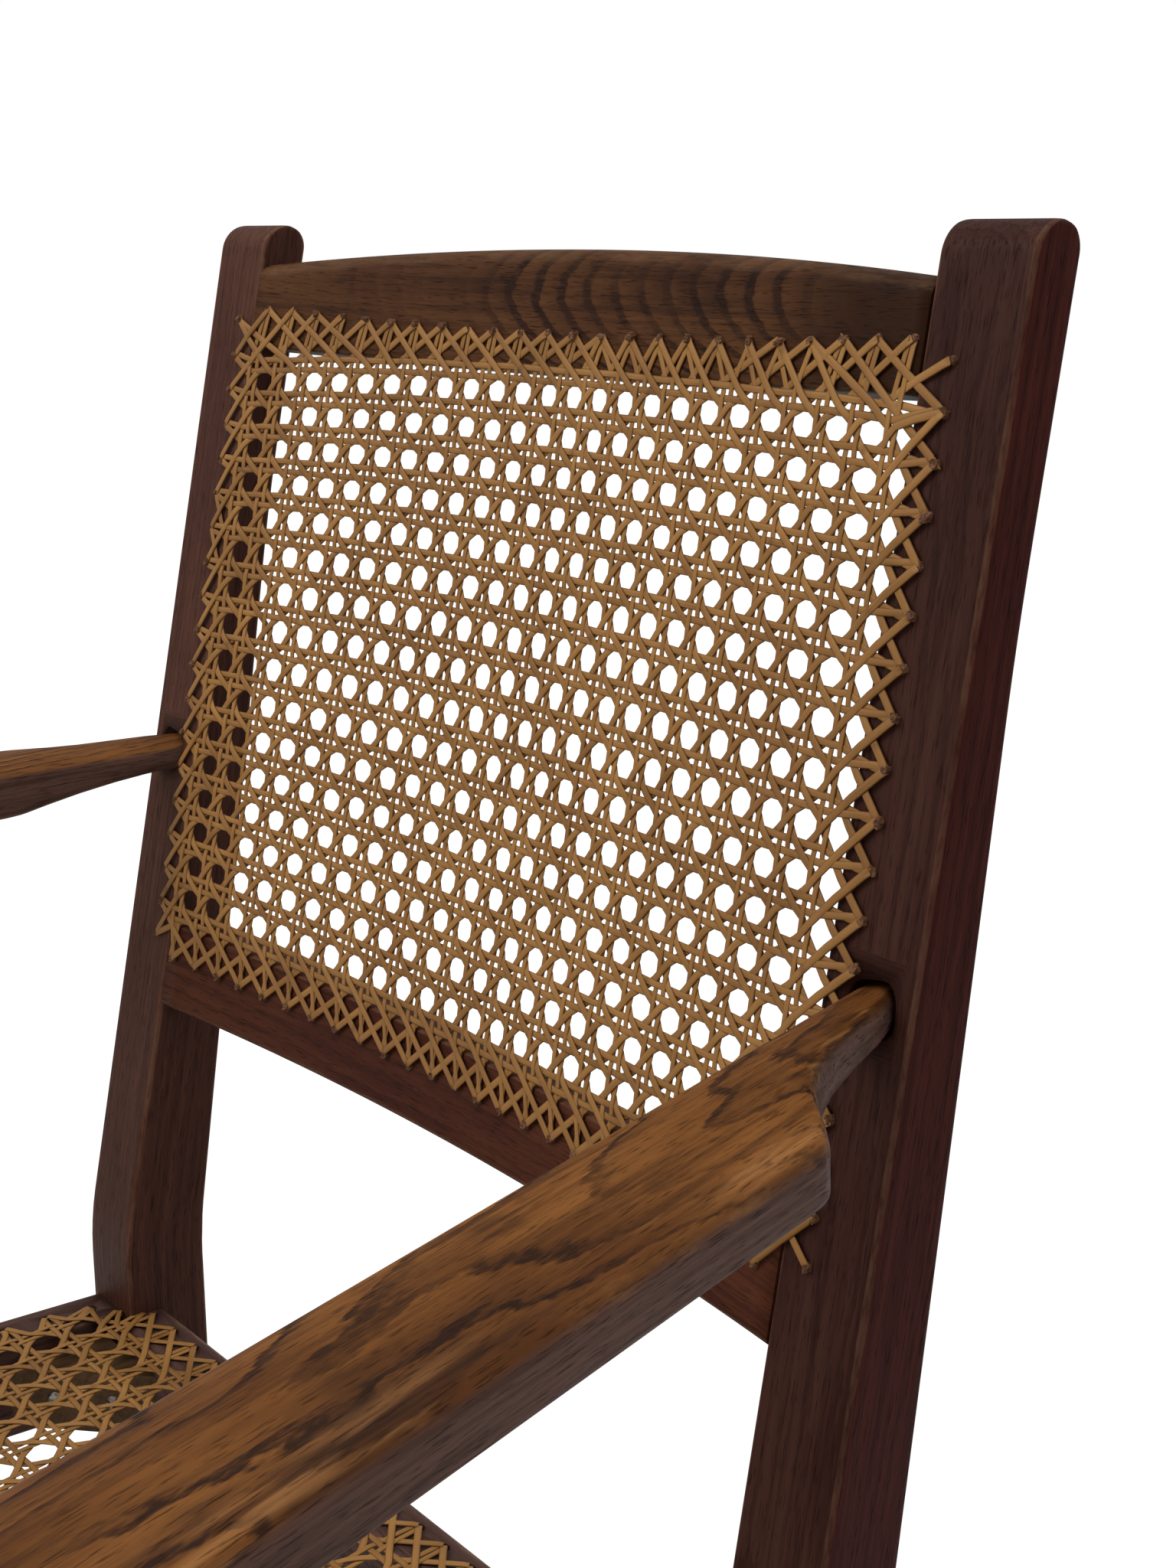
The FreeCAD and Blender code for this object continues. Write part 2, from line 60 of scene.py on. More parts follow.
# Back
rake = math.radians(12.0)
panel_height = 725.0
half_span = 230.5
post_width = 37.0
post_inner = half_span - post_width
post_top = 185.0
post_bend = 290.0
post_depth_top = 22.0
post_depth_seat = 40.0
post_front_round = 13.0
post_rear_round = 9.0
post_arris = 2.2
foot_sweep = 38.0
foot_depth = 30.0
foot_arris = 2.5
knee_height = 330.0
rail_bow = 16.0
back_rail_thick = 20.0
crest_end_top = 166.0
crest_arrises = (2.0, 3.0, 6.0, 7.0)
crest_rise = 11.0
crest_low = 128.5
lower_rail_top = 136.0
lower_rail_low = 175.0
lower_arrises = (3.0, 3.0, 3.0, 2.5)
leg_front = -post_bend * math.sin(rake)
post_foot = -post_bend - (panel_height - post_bend * math.cos(rake))

# Front legs
leg_size = 38.0
foot_size = 30.0
leg_top_width = 32.0
leg_arris = 3.0
sweep_start = seat_height + 8.0

# Arms: the tables give the outer edge and the underside at places along the arm
arm_drop = 53.0
arm_slope = math.radians(1.7)
arm_splay = math.radians(9.6)
arm_inset = 9.0
arm_length = 505.0
arm_width = 50.0
arm_thick = 21.7
arm_end_round = 18.0
arm_end_arris = 3.0
arm_rounds = (4.5, 4.5, 5.0, 4.0)
arm_tip = 5.0
arm_tip_round = 7.0
crown_rise = 2.5
crown_inner_fall = (2.5, 18.0)
crown_outer_fall = (6.5, 28.0)
crown_place = 22.0
arm_edge = {-2.0: 12.0, 2.0: 14.0, 10.0: 15.5, 25.0: 19.0, 38.0: 20.5, 55.0: 23.0, 67.0: 26.5, 78.0: 32.0,
            85.0: 38.0, 93.0: 46.0, 97.0: 48.6, 101.0: 49.7, 106.0: 50.0}
arm_under = {-2.0: 12.6, 22.0: 12.6, 28.0: 12.8, 44.0: 14.2, 61.0: 16.4, 76.0: 19.0, 87.0: 21.2, 95.0: 21.7}
arm_cove = (-2.0, 0.0, 3.0, 7.0, 12.0, 18.0, 24.0, 30.0, 37.0, 44.0, 50.0, 55.0, 60.0, 64.0, 68.0, 72.0,
            76.0, 79.0, 82.0, 85.0, 88.0, 91.0, 94.0, 97.0, 101.0, 106.0, 113.0)
arm_edge_wear = 14.0

# Corner blocks and their screws
block_leg = 46.0
block_depth = 30.0
block_drop = 10.0
screw_radius = 3.6
screw_height = 1.3

# Stretchers
stretcher_height = 150.0
stretcher_thick = 18.0
stretcher_depth = 28.0

# Holes of the back, and how far its upright and level pairs stray from even spacing
back_pitch = 16.0
back_shift = -4.0
back_columns_count = 24
back_rows_count = 17
back_hole_top = 145.8
back_hole_dip = 2.8
back_hole_low = 152.0
back_hole_pitch = 16.2
back_hole_middle = 2.7
back_hole_right = 206.0
back_hole_left = 203.5
back_side_pitch = 15.75
back_side_top = 139.5
back_side_count = 19
back_side_steps = (12.0, 13.5)
back_end_steps = (13.6, 11.0)
back_bend_middle = 20.0
back_bend_half = 161.0
back_bend_height = 122.0
back_column_drift = {-146.0: -0.8, -114.0: 0.4, -65.0: 2.5, -19.0: 2.5, 12.0: 0.9, 43.0: -1.6, 75.0: -2.4,
                     108.0: -2.0, 142.0: -0.3, 159.0: 0.5, 192.0: 4.2}
back_row_drift = {-128.0: -3.6, -106.0: -3.2, -42.0: -3.3, -26.0: -3.0, -9.0: -2.0, 7.0: -0.8, 40.0: 1.1,
                  72.0: 1.5, 118.0: -0.4, 128.0: -0.9}

# Holes of the seat
seat_pitch_x = 16.24
seat_middle = 4.6
seat_crowding = 0.13
seat_pitch_y = 19.4
seat_rear_holes = -51.0
seat_front_holes = -(seat_front - front_reveal - 12.5)
seat_side_inset = 12.6
seat_corner_inset = 6.0
seat_corner_run = 12.0
seat_corner_shares = (0.12, 0.5, 0.88)
seat_first_row = -71.0
seat_hole_radius = 2.5
seat_side_steps = (16.0, 16.0)
seat_end_steps = (15.9, 13.3)

# Cane strands and pegs
strand_width = 2.6
slant_width = 3.05
strand_thick = 0.5
weave_height = strand_thick / 2.0
slant_height = strand_thick * 0.95
slant_reach = 2.4
slant_bend = 0.3
upright_half = 2.15
level_half = 2.25
lift = 0.95
back_belly = 3.0
belly_middle = 20.0
seat_sag = 5.0
sag_middle = -258.0
sag_half_width = 215.0
sag_half_length = 190.0
hole_depth = 3.0
hole_lead = (0.8, 1.2, 2.6)
hole_dip = 0.6
hole_short = 3.5
hole_reach = 45.0
least_across = 28.0
peg_radius = 2.2
peg_height = 4.0
peg_sink = 2.0
peg_fray = (0.0022, 0.0022, 0.0026)

chance = random.Random(7)
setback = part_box("front_leg_right")[0].y / MM + seat_front


def chair_point(x, y, z):
    """A point of the drawing in the frame, in metres."""
    return Vector((x, y + setback, z)) * MM


def back_point(x, n, v):
    """A point n behind the back's front plane and v up along it."""
    return chair_point(x, n * math.cos(rake) + v * math.sin(rake),
                       panel_height + v * math.cos(rake) - n * math.sin(rake))


def arch(x, half=post_inner):
    """One at the middle, nothing at the ends."""
    return max(0.0, 1.0 - (x / half) ** 2)


def follow(table, place):
    """Value read off a table, on straight lines between its points."""
    keys = sorted(table)
    if place <= keys[0]:
        return table[keys[0]]
    for low, high in zip(keys, keys[1:]):
        if place <= high:
            share = (place - low) / (high - low)
            return table[low] + (table[high] - table[low]) * share
    return table[keys[-1]]


def eased(distance, width):
    """Distance past a bend, with the bend rounded over its width."""
    if distance < -width:
        return 0.0
    if distance > width:
        return distance
    return (distance + width) ** 2 / (4.0 * width)


def below_knee(height, ease):
    """Nothing above the knee, one at the floor."""
    return eased(knee_height - height, ease) / knee_height


def arc_drop(past, radius):
    """How far a rounded end has fallen away at a distance past the start of its rounding."""
    past = min(max(0.0, past), radius)
    return radius - math.sqrt(radius ** 2 - past ** 2)


def steps(start, end, count):
    return [start + (end - start) * k / count for k in range(count + 1)]


# Stations along a bar are pairs of a place and how far the section shrinks there
def full(*runs):
    """Stations of the whole section at the places of all runs."""
    return [(s, 0.0) for run in runs for s in run]


def rounded_end(end, radius, inward, count=5):
    """Stations of an end whose rim is rounded, from the body outwards."""
    turns = steps(0.0, QUARTER, count)
    return [(end + inward * radius * (1.0 - math.sin(t)), radius * (1.0 - math.cos(t))) for t in turns]


# Wood pieces are lofted through rings of points
ARC_STEPS = 4
SUPPORT = 3.0
LEAST_ROUND = 0.05
LEAST_ARRIS = 0.3
RIM_WEAR = 0.6
MERGE = 0.02


def rounded_section(a0, a1, b0, b1, radii, fill=(0, 0, 0, 0)):
    """Points (a, b, wear) round a rectangle with rounded corners, from (a0, b0) anticlockwise."""
    most = max(LEAST_ROUND, min(a1 - a0, b1 - b0) / 2.0 - LEAST_ROUND)
    radii = [max(LEAST_ROUND, min(radius, most)) for radius in radii]
    corners = [(a0, b0, 1, 1, 180), (a1, b0, -1, 1, 270), (a1, b1, -1, -1, 0), (a0, b1, 1, -1, 90)]
    points = []
    for k, (a, b, in_a, in_b, start) in enumerate(corners):
        radius = radii[k]
        for step in range(ARC_STEPS + 1):
            turn = math.radians(start + 90.0 * step / ARC_STEPS)
            wear = RIM_WEAR if step in (0, ARC_STEPS) else 1.0
            points.append((a + in_a * radius + radius * math.cos(turn),
                           b + in_b * radius + radius * math.sin(turn), wear))
        following = corners[(k + 1) % 4]
        after = radii[(k + 1) % 4]
        first = Vector(points[-1][:2])
        if k % 2 == 0:
            last = Vector((following[0] + following[2] * after, b))
        else:
            last = Vector((a, following[1] + following[3] * after))
        run = last - first
        support = run.normalized() * min(SUPPORT, run.length / 4.0)
        for share in steps(0.0, 1.0, fill[k] + 1):
            point = (first + support).lerp(last - support, share)
            points.append((point.x, point.y, 0.0))
    return points


def object_of(name, data):
    made = bpy.data.objects.new(name, data)
    bpy.context.scene.collection.objects.link(made)
    return made


def piece_of_points(name, points, edges=(), faces=()):
    mesh = bpy.data.meshes.new(name)
    mesh.from_pydata(points, edges, faces)
    return object_of(name, mesh)


def piece_of_shape(name, shape):
    mesh = bpy.data.meshes.new(name)
    shape.to_mesh(mesh)
    shape.free()
    return object_of(name, mesh)


def loft(name, rings, start_flat, end_flat):
    """Closed piece through rings of (place, grain, wear), with a cap at each end."""
    shape = bmesh.new()
    grain_layer = shape.verts.layers.float_vector.new("grain")
    wear_layer = shape.verts.layers.float.new("wear")

    def add_ring(ring):
        made = []
        for place, grain, wear in ring:
            vertex = shape.verts.new(place)
            vertex[grain_layer] = grain
            vertex[wear_layer] = wear
            made.append(vertex)
        return made

    def join(first, second, smooth):
        count = len(first)
        for k in range(count):
            after = (k + 1) % count
            face = shape.faces.new((first[k], first[after], second[after], second[k]))
            face.smooth = smooth

    def inner_ring(ring):
        """A ring a little inside an end's rim, which keeps the rim crisp."""
        middle = sum((point[0] for point in ring), Vector()) / len(ring)
        middle_grain = sum((point[1] for point in ring), Vector()) / len(ring)
        inner = []
        for place, grain, wear in ring:
            gap = (middle - place).length
            share = min(0.45, SUPPORT * MM / gap) if gap > 0 else 0.0
            inner.append((place.lerp(middle, share), grain.lerp(middle_grain, share), 0.0))
        return inner

    made = [add_ring(ring) for ring in rings]
    for first, second in zip(made, made[1:]):
        join(first, second, True)
    for ring, vertices, flat in ((rings[0], made[0], start_flat), (rings[-1], made[-1], end_flat)):
        inner = add_ring(inner_ring(ring))
        join(vertices, inner, not flat)
        face = shape.faces.new(inner)
        face.smooth = not flat
    bmesh.ops.remove_doubles(shape, verts=shape.verts, dist=MERGE * MM)
    bmesh.ops.triangulate(shape, faces=[face for face in shape.faces if len(face.verts) > 4])
    bmesh.ops.recalc_face_normals(shape, faces=shape.faces)
    return piece_of_shape(name, shape)


def steady(a0, a1, b0, b1, radii):
    """A section that stays the same all along a bar."""
    return lambda s: (a0, a1, b0, b1, radii)


def bar(name, stations, section, place, offset=(0.0, 0.0, 0.0), flat=(True, True), fill=(0, 0, 0, 0)):
    """Bar with a section (a0, a1, b0, b1, radii) at each station, its grain shifted by an offset."""
    rings = []
    for s, shrink in stations:
        a0, a1, b0, b1, radii = section(s)
        radii = [max(LEAST_ARRIS, radius - shrink) for radius in radii]
        ring = []
        for a, b, wear in rounded_section(a0 + shrink, a1 - shrink, b0 + shrink, b1 - shrink, radii, fill):
            grain = Vector((a, s, b)) * MM + Vector(offset)
            ring.append((place(a, b, s), grain, 1.0 if shrink > 0 else wear))
        rings.append(ring)
    return loft(name, rings, *flat)


def opposite(piece, name):
    """The same piece for the left-hand side of the chair, with its grain from another part of the tree."""
    shape = bmesh.new()
    shape.from_mesh(piece.data)
    grain_layer = shape.verts.layers.float_vector["grain"]
    for vertex in shape.verts:
        vertex.co.x = -vertex.co.x
        vertex[grain_layer] = vertex[grain_layer] + Vector((0.31, 0.17, 0.05))
    bmesh.ops.reverse_faces(shape, faces=shape.faces)
    return piece_of_shape(name, shape)


# Node trees
def operator(operation, turned=False):
    """A method that joins a wire and another value by a Math node."""
    def method(self, other):
        values = (other, self) if turned else (self, other)
        return self.graph.math(operation, *values)
    return method


class Wire:
    """A node's output on which Python's operators build Math nodes."""

    def __init__(self, graph, socket):
        self.graph = graph
        self.socket = socket

    def out(self, name):
        return Wire(self.graph, self.socket.node.outputs[name])

    __add__ = operator("ADD")
    __radd__ = operator("ADD", turned=True)
    __sub__ = operator("SUBTRACT")
    __rsub__ = operator("SUBTRACT", turned=True)
    __mul__ = operator("MULTIPLY")
    __truediv__ = operator("DIVIDE")


class Graph:
    """A node tree with one way to add a node, and short names for the nodes that come up often."""

    def __init__(self, tree):
        self.tree = tree

    def node(self, kind, settings=None, inputs=None, out=0):
        made = self.tree.nodes.new(kind)
        for name, value in (settings or {}).items():
            setattr(made, name, value)
        for name, value in (inputs or {}).items():
            if isinstance(value, Wire):
                self.tree.links.new(value.socket, made.inputs[name])
            else:
                made.inputs[name].default_value = value
        return Wire(self, made.outputs[out]) if made.outputs else made

    def math(self, operation, *values):
        return self.node("ShaderNodeMath", {"operation": operation}, dict(enumerate(values)))

    def vector(self, operation, *values, out=0):
        return self.node("ShaderNodeVectorMath", {"operation": operation}, dict(enumerate(values)), out)

    def parts(self, vector):
        """A vector's three numbers."""
        split = self.node("ShaderNodeSeparateXYZ", inputs={0: vector})
        return [split.out(axis) for axis in "XYZ"]

    def joined(self, x, y, z):
        return self.node("ShaderNodeCombineXYZ", inputs={0: x, 1: y, 2: z})

    def held(self, value):
        """The value, kept between nothing and one."""
        return self.node("ShaderNodeMath", {"operation": "ADD", "use_clamp": True}, {0: value, 1: 0.0})

    def band(self, value, low, high):
        """Nothing below low, one above high, smooth between."""
        return self.node("ShaderNodeMapRange", {"interpolation_type": "SMOOTHSTEP"},
                         {"Value": value, "From Min": low, "From Max": high})

    def noise(self, vector, scale, detail=2.0, roughness=0.5):
        return self.node("ShaderNodeTexNoise",
                         inputs={"Vector": vector, "Scale": scale, "Detail": detail, "Roughness": roughness})

    def grained(self, grain, across, along, detail=2.0, roughness=0.5):
        """Noise that is drawn out along the grain."""
        return self.noise(self.vector("MULTIPLY", grain, (across, along, across)), 1.0, detail, roughness)

    def mix(self, share, first, second):
        first, second = [c if isinstance(c, Wire) else (*c, 1.0) for c in (first, second)]
        return self.node("ShaderNodeMix", {"data_type": "RGBA"}, {0: share, 6: first, 7: second}, out=2)

    def surface(self, kind):
        return self.node("ShaderNodeTexCoord", out=kind)

    def mark(self, name, out="Fac"):
        """An attribute that the piece's mesh carries."""
        return self.node("ShaderNodeAttribute", {"attribute_name": name}, out=out)

    def finish(self, shader, kind="Material"):
        self.node("ShaderNodeOutput" + kind, inputs={"Surface": shader})

    def moved(self, geometry, place=None, shift=None):
        target = {3: shift} if place is None else {2: place}
        return self.node("GeometryNodeSetPosition", inputs={0: geometry, **target})

    def stored(self, geometry, domain, name, value):
        return self.node("GeometryNodeStoreNamedAttribute", {"data_type": "FLOAT", "domain": domain},
                         {0: geometry, 2: name, 3: value})

    def random(self, low, high, seed):
        """A random number, or vector, for each element."""
        kind, first, out = ("FLOAT_VECTOR", 0, 0) if isinstance(low, tuple) else ("FLOAT", 2, 1)
        return self.node("FunctionNodeRandomValue", {"data_type": kind},
                         {first: low, first + 1: high, 8: seed}, out)


def new_material(name):
    """An empty material and its graph."""
    material = bpy.data.materials.new(name)
    material.use_nodes = True
    material.node_tree.nodes.clear()
    return material, Graph(material.node_tree)


def finish_material(graph, colour, roughness, height, bump, reach, specular):
    relief = graph.node("ShaderNodeBump", inputs={"Strength": bump, "Distance": reach, "Height": height})
    graph.finish(graph.node("ShaderNodeBsdfPrincipled", inputs={
        "Base Color": colour, "Roughness": roughness, "Specular IOR Level": specular, "Normal": relief}))


# Figures of the grain: each gives its rings' count, where its lines show and where the wood darkens
def cathedral(across, deep, tilt, ring, wander):
    """Growth rings round a tilted pith beside the board."""
    def figure(graph, place, stray, fine):
        x = place[0] - across
        z = place[2] - deep
        radius = graph.math("SQRT", x * x + z * z)
        return (radius + place[1] * tilt + stray * wander + fine * (ring * 0.9)) / ring, 1.0, 0.0
    return figure


def flame(middle, height, bend, ring, wander, reach):
    """Nested tongues that point along a rail at one height, and fade out towards its ends."""
    def figure(graph, place, stray, fine):
        along = place[1] - middle
        up = place[2] - height
        shown = 1.0 - graph.band(graph.math("ABSOLUTE", along), reach * 0.6, reach)
        rings = (along - up * up / bend + stray * wander + fine * (ring * 0.45)) / ring
        return rings, shown, graph.band(along, reach * 0.55, reach * 1.1)
    return figure


# Parts of a board, told from the way its surface faces, with the upper rounding that takes a painted
# highlight
def side_of_post(graph):
    facing = graph.parts(graph.surface("Normal"))[0]
    return graph.band(graph.math("ABSOLUTE", facing), 0.55, 0.9)


def edge_of_board(graph):
    facing = graph.parts(graph.surface("Normal"))[2]
    return 1.0 - graph.band(facing, 0.3, 0.72)


# Band of the top's upper rounding that faces up to the light, where the arm's painted highlight goes
def highlight_rounding_of_board(graph):
    facing = graph.parts(graph.surface("Normal"))[2]
    return graph.band(facing, 0.6, 0.85) * (1.0 - graph.band(facing, 0.93, 0.975))


def oak(name, tones, worn, figure, line_share, side=None, wear_share=0.55, specular=0.06, by_object=False,
        line_start=0.5, line_width=0.16, cloud_share=0.0, gleam=None):
    """Stained oak in dark, middle and light tones: ring lines, streaks, open pores, rubbed arrises and,
    where asked, a painted highlight on the upper rounding.
    """
    dark, middle, light = tones
    material, graph = new_material(name)
    grain = graph.surface("Object") if by_object else graph.mark("grain", "Vector")
    stray = graph.grained(grain, 17.0, 5.0) - 0.5
    fine = graph.grained(grain, 190.0, 45.0, 3.0, 0.65) - 0.5
    rings, shown, dusk = figure(graph, graph.parts(grain), stray, fine)
    turn = graph.math("FRACT", rings)
    soft = graph.band(turn, line_start, 0.9) * 0.45 * (1.0 - graph.band(turn, 0.93, 1.0))
    sharp = graph.band(turn, 0.86 - line_width, 0.98 - line_width * 0.7)
    line = graph.math("MAXIMUM", soft, sharp * (1.0 - graph.band(turn, 0.92, 1.0)))
    patch = graph.band(graph.grained(grain, 30.0, 11.0), 0.33, 0.56)
    mottle = graph.band(graph.grained(grain, 620.0, 110.0, 2.0, 0.7), 0.3, 0.58)
    line = graph.held(line * shown * (0.3 + patch * 0.7) * (0.5 + mottle * 0.5))
    pits = graph.band(graph.grained(grain, 1500.0, 95.0, 2.0, 0.6), 0.54, 0.68)
    streaks = graph.band(graph.grained(grain, 330.0, 9.0, 4.0, 0.65), 0.32, 0.68)
    blotch = graph.grained(grain, 26.0, 7.0, 3.0)
    colour = graph.mix(graph.band(blotch, 0.34, 0.66), middle, light)
    colour = graph.mix((1.0 - graph.band(turn, 0.0, 0.45)) * 0.3, colour, light)
    colour = graph.mix(streaks * 0.6, colour, middle)
    colour = graph.mix(graph.band(streaks, 0.55, 1.0) * 0.3, colour, dark)
    colour = graph.mix(line * line_share, colour, dark)
    colour = graph.mix(dusk * 0.85, colour, [c * 0.45 for c in middle])
    if cloud_share:
        cloud = graph.grained(graph.vector("ADD", grain, (0.7, 0.4, 0.1)), 30.0, 10.0, 4.0, 0.62)
        cloud = graph.band(cloud, 0.53, 0.64) * (0.45 + streaks * 0.55)
        colour = graph.mix(cloud * cloud_share, colour, dark)
    if side:
        face, side_dark, side_light = side
        flank = graph.mix(graph.held(streaks * 0.7 + line * 0.3), side_light, side_dark)
        colour = graph.mix(face(graph), colour, flank)
    # Painted highlight: streaks in the rubbed colour on the rounding that faces the light
    if gleam:
        glint = graph.band(graph.grained(grain, 210.0, 13.0, 3.0), 0.53, 0.68)
        colour = graph.mix(gleam(graph) * glint * 0.5, colour, worn)
    colour = graph.mix(pits * 0.55, colour, [c * 0.4 for c in dark])
    if not by_object:
        patchy = graph.grained(grain, 70.0, 24.0, 4.0, 0.65)
        rubbed = graph.band(graph.mark("wear") + (patchy - 0.5) * 1.1, 0.7, 1.12)
        colour = graph.mix(rubbed * wear_share * (0.35 + mottle * 0.65), colour, worn)
    roughness = graph.held(0.43 + pits * 0.2 + blotch * 0.14)
    height = streaks * 0.35 - pits * 0.8 - line * 0.25
    finish_material(graph, colour, roughness, height, 0.4, 0.00025, specular)
    return material


def cane_material(name):
    """Split cane: each strand its own tone, fibres along it, painted shade along the rims and now and then a
    joint.
    """
    material, graph = new_material(name)
    tone, along, rim = [graph.mark(label) for label in ("tone", "along", "rim")]
    fibres = graph.noise(graph.joined(along * 40.0, rim * 5.0, tone * 90.0), 1.0, 3.0, 0.6)
    patches = graph.noise(graph.surface("Object"), 34.0, 4.0, 0.6)
    shade = tone * 0.35 + graph.band(fibres, 0.3, 0.7) * 0.3 + graph.band(patches, 0.3, 0.7) * 0.35
    colour = graph.mix(graph.held(shade), (0.145, 0.063, 0.0155), (0.325, 0.160, 0.045))
    joint = graph.math("ABSOLUTE", graph.math("FRACT", along * 3.1 + tone * 7.0) - 0.5)
    colour = graph.mix(graph.held(1.0 - joint * 130.0) * 0.5, colour, (0.08, 0.034, 0.012))
    # Painted shade along each strand's edges
    colour = graph.mix(graph.band(rim, 0.6, 1.0) * 0.6, colour, (0.10, 0.040, 0.012))
    soiled = graph.band(graph.noise(graph.surface("Object"), 9.0), 0.45, 0.75)
    colour = graph.mix(soiled * 0.25, colour, (0.13, 0.055, 0.018))
    finish_material(graph, colour, graph.held(0.4 + fibres * 0.2), fibres, 0.25, 0.0001, 0.14)
    return material


def steel_material(name):
    """Plain steel, dulled and a little stained."""
    material, graph = new_material(name)
    stain = graph.band(graph.noise(graph.surface("Object"), 420.0, 3.0), 0.4, 0.7)
    colour = graph.mix(stain, (0.24, 0.22, 0.20), (0.12, 0.085, 0.06))
    graph.finish(graph.node("ShaderNodeBsdfPrincipled", inputs={
        "Base Color": colour, "Metallic": 1.0, "Roughness": graph.held(0.35 + stain * 0.3)}))
    return material


post_rings = cathedral(across=0.20, deep=-0.055, tilt=0.02, ring=0.0034, wander=0.010)
post_oak = oak(
    "post_oak", ((0.013, 0.0040, 0.0032), (0.027, 0.0088, 0.0064), (0.050, 0.0195, 0.0138)),
    worn=(0.150, 0.074, 0.045), figure=post_rings, line_share=0.45, wear_share=0.4, specular=0.045,
    side=(side_of_post, (0.020, 0.0030, 0.0024), (0.052, 0.0105, 0.0072)))
pale_post_oak = oak(
    "pale_post_oak", ((0.022, 0.0085, 0.0062), (0.053, 0.0195, 0.0122), (0.086, 0.0355, 0.0220)),
    worn=(0.160, 0.078, 0.048), figure=post_rings, line_share=0.45, specular=0.05,
    side=(side_of_post, (0.028, 0.0105, 0.0078), (0.066, 0.0250, 0.0170)))
frame_oak = oak(
    "frame_oak", ((0.024, 0.0110, 0.0085), (0.058, 0.0275, 0.0210), (0.092, 0.0460, 0.0350)),
    worn=(0.200, 0.120, 0.082), line_share=0.5,
    figure=cathedral(across=0.02, deep=-0.05, tilt=0.03, ring=0.0042, wander=0.012))
rail_oak = oak(
    "rail_oak", ((0.018, 0.0058, 0.0042), (0.044, 0.0115, 0.0058), (0.080, 0.0245, 0.0108)),
    worn=(0.150, 0.070, 0.036), line_share=0.45, specular=0.05,
    figure=cathedral(across=0.01, deep=-0.10, tilt=0.012, ring=0.0052, wander=0.012))
crest_oak = oak(
    "crest_oak", ((0.010, 0.0036, 0.0024), (0.042, 0.0145, 0.0056), (0.086, 0.0350, 0.0118)),
    worn=(0.120, 0.062, 0.032), line_share=0.9, wear_share=0.4, specular=0.045, line_start=0.2,
    line_width=0.36, cloud_share=0.5,
    figure=flame(middle=0.045, height=0.160, bend=0.016, ring=0.0150, wander=0.026, reach=0.110))
# The arm's rubbed colour is a light gold, because it also paints the highlight along its upper rounding
arm_oak = oak(
    "arm_oak", ((0.018, 0.0070, 0.0036), (0.084, 0.0285, 0.0066), (0.190, 0.0740, 0.0180)),
    worn=(0.360, 0.165, 0.056), line_share=0.95, wear_share=0.5, specular=0.07, line_start=0.4,
    line_width=0.2, cloud_share=0.8, gleam=highlight_rounding_of_board,
    side=(edge_of_board, (0.034, 0.0160, 0.0120), (0.106, 0.0560, 0.0430)),
    figure=cathedral(across=0.020, deep=-0.030, tilt=0.060, ring=0.0046, wander=0.034))
peg_wood = oak(
    "peg_wood", ((0.030, 0.0130, 0.0085), (0.085, 0.0380, 0.0200), (0.170, 0.0850, 0.0450)),
    worn=(0.2, 0.1, 0.05), line_share=0.5, by_object=True,
    figure=cathedral(across=0.0, deep=0.0, tilt=0.1, ring=0.0012, wander=0.001))
block_wood = oak(
    "block_wood", ((0.035, 0.018, 0.009), (0.080, 0.044, 0.020), (0.130, 0.073, 0.034)),
    worn=(0.4, 0.27, 0.15), line_share=0.5, by_object=True,
    figure=cathedral(across=0.05, deep=0.3, tilt=0.05, ring=0.004, wander=0.01))
cane = cane_material("cane")
screw_steel = steel_material("screw_steel")


def geometry_tree(name, inputs):
    """A geometry node tree with named number inputs, its graph and its input wires."""
    tree = bpy.data.node_groups.new(name, "GeometryNodeTree")
    tree.interface.new_socket("Geometry", in_out="INPUT", socket_type="NodeSocketGeometry")
    tree.interface.new_socket("Geometry", in_out="OUTPUT", socket_type="NodeSocketGeometry")
    for label in inputs:
        kind = "NodeSocketInt" if label == "Seed" else "NodeSocketFloat"
        tree.interface.new_socket(label, in_out="INPUT", socket_type=kind)
    graph = Graph(tree)
    start = tree.nodes.new("NodeGroupInput")
    wires = {socket.name: Wire(graph, socket) for socket in start.outputs if socket.name}
    return tree, graph, wires


def close_tree(graph, geometry, material):
    """Ends a tree in Realize Instances and Set Material."""
    geometry = graph.node("GeometryNodeRealizeInstances", inputs={0: geometry})
    dressed = graph.node("GeometryNodeSetMaterial", inputs={0: geometry, 2: material})
    graph.node("NodeGroupOutput", inputs={0: dressed})


def applied(piece, modifier):
    """Keeps what a modifier makes of a piece as its plain mesh."""
    graph = bpy.context.evaluated_depsgraph_get()
    mesh = bpy.data.meshes.new_from_object(piece.evaluated_get(graph), preserve_all_data_layers=True,
                                           depsgraph=graph)
    piece.modifiers.remove(modifier)
    piece.data = mesh
    return piece


def grown(piece, tree, values):
    """Runs a tree on a piece with its named inputs."""
    modifier = piece.modifiers.new(tree.name, "NODES")
    modifier.node_group = tree
    for item in tree.interface.items_tree:
        if item.in_out == "INPUT" and item.name in values:
            modifier[item.identifier] = values[item.name]
    return applied(piece, modifier)


def cut(piece, cutter):
    """Takes the cutter's shape out of a piece."""
    modifier = piece.modifiers.new("cut", "BOOLEAN")
    modifier.object = cutter
    modifier.solver = "EXACT"
    applied(piece, modifier)
    bpy.data.objects.remove(cutter)
    return piece


def settle(piece, material, slot, *nodes):
    """Gives a piece its finish and its body, and hides the nodes that it stands for."""
    piece.data.materials.clear()
    piece.data.materials.append(material)
    for face in piece.data.polygons:
        face.material_index = 0
    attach(piece, "root")
    if nodes:
        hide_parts(*nodes)
    return piece


# Back posts, swept back below the knee and raked above the seat
BEND_EASE = 16.0
POST_KNEE_EASE = 14.0
TAPER_START = 60.0
TAPER_EASE = 30.0
LEAN_RUN = 30.0


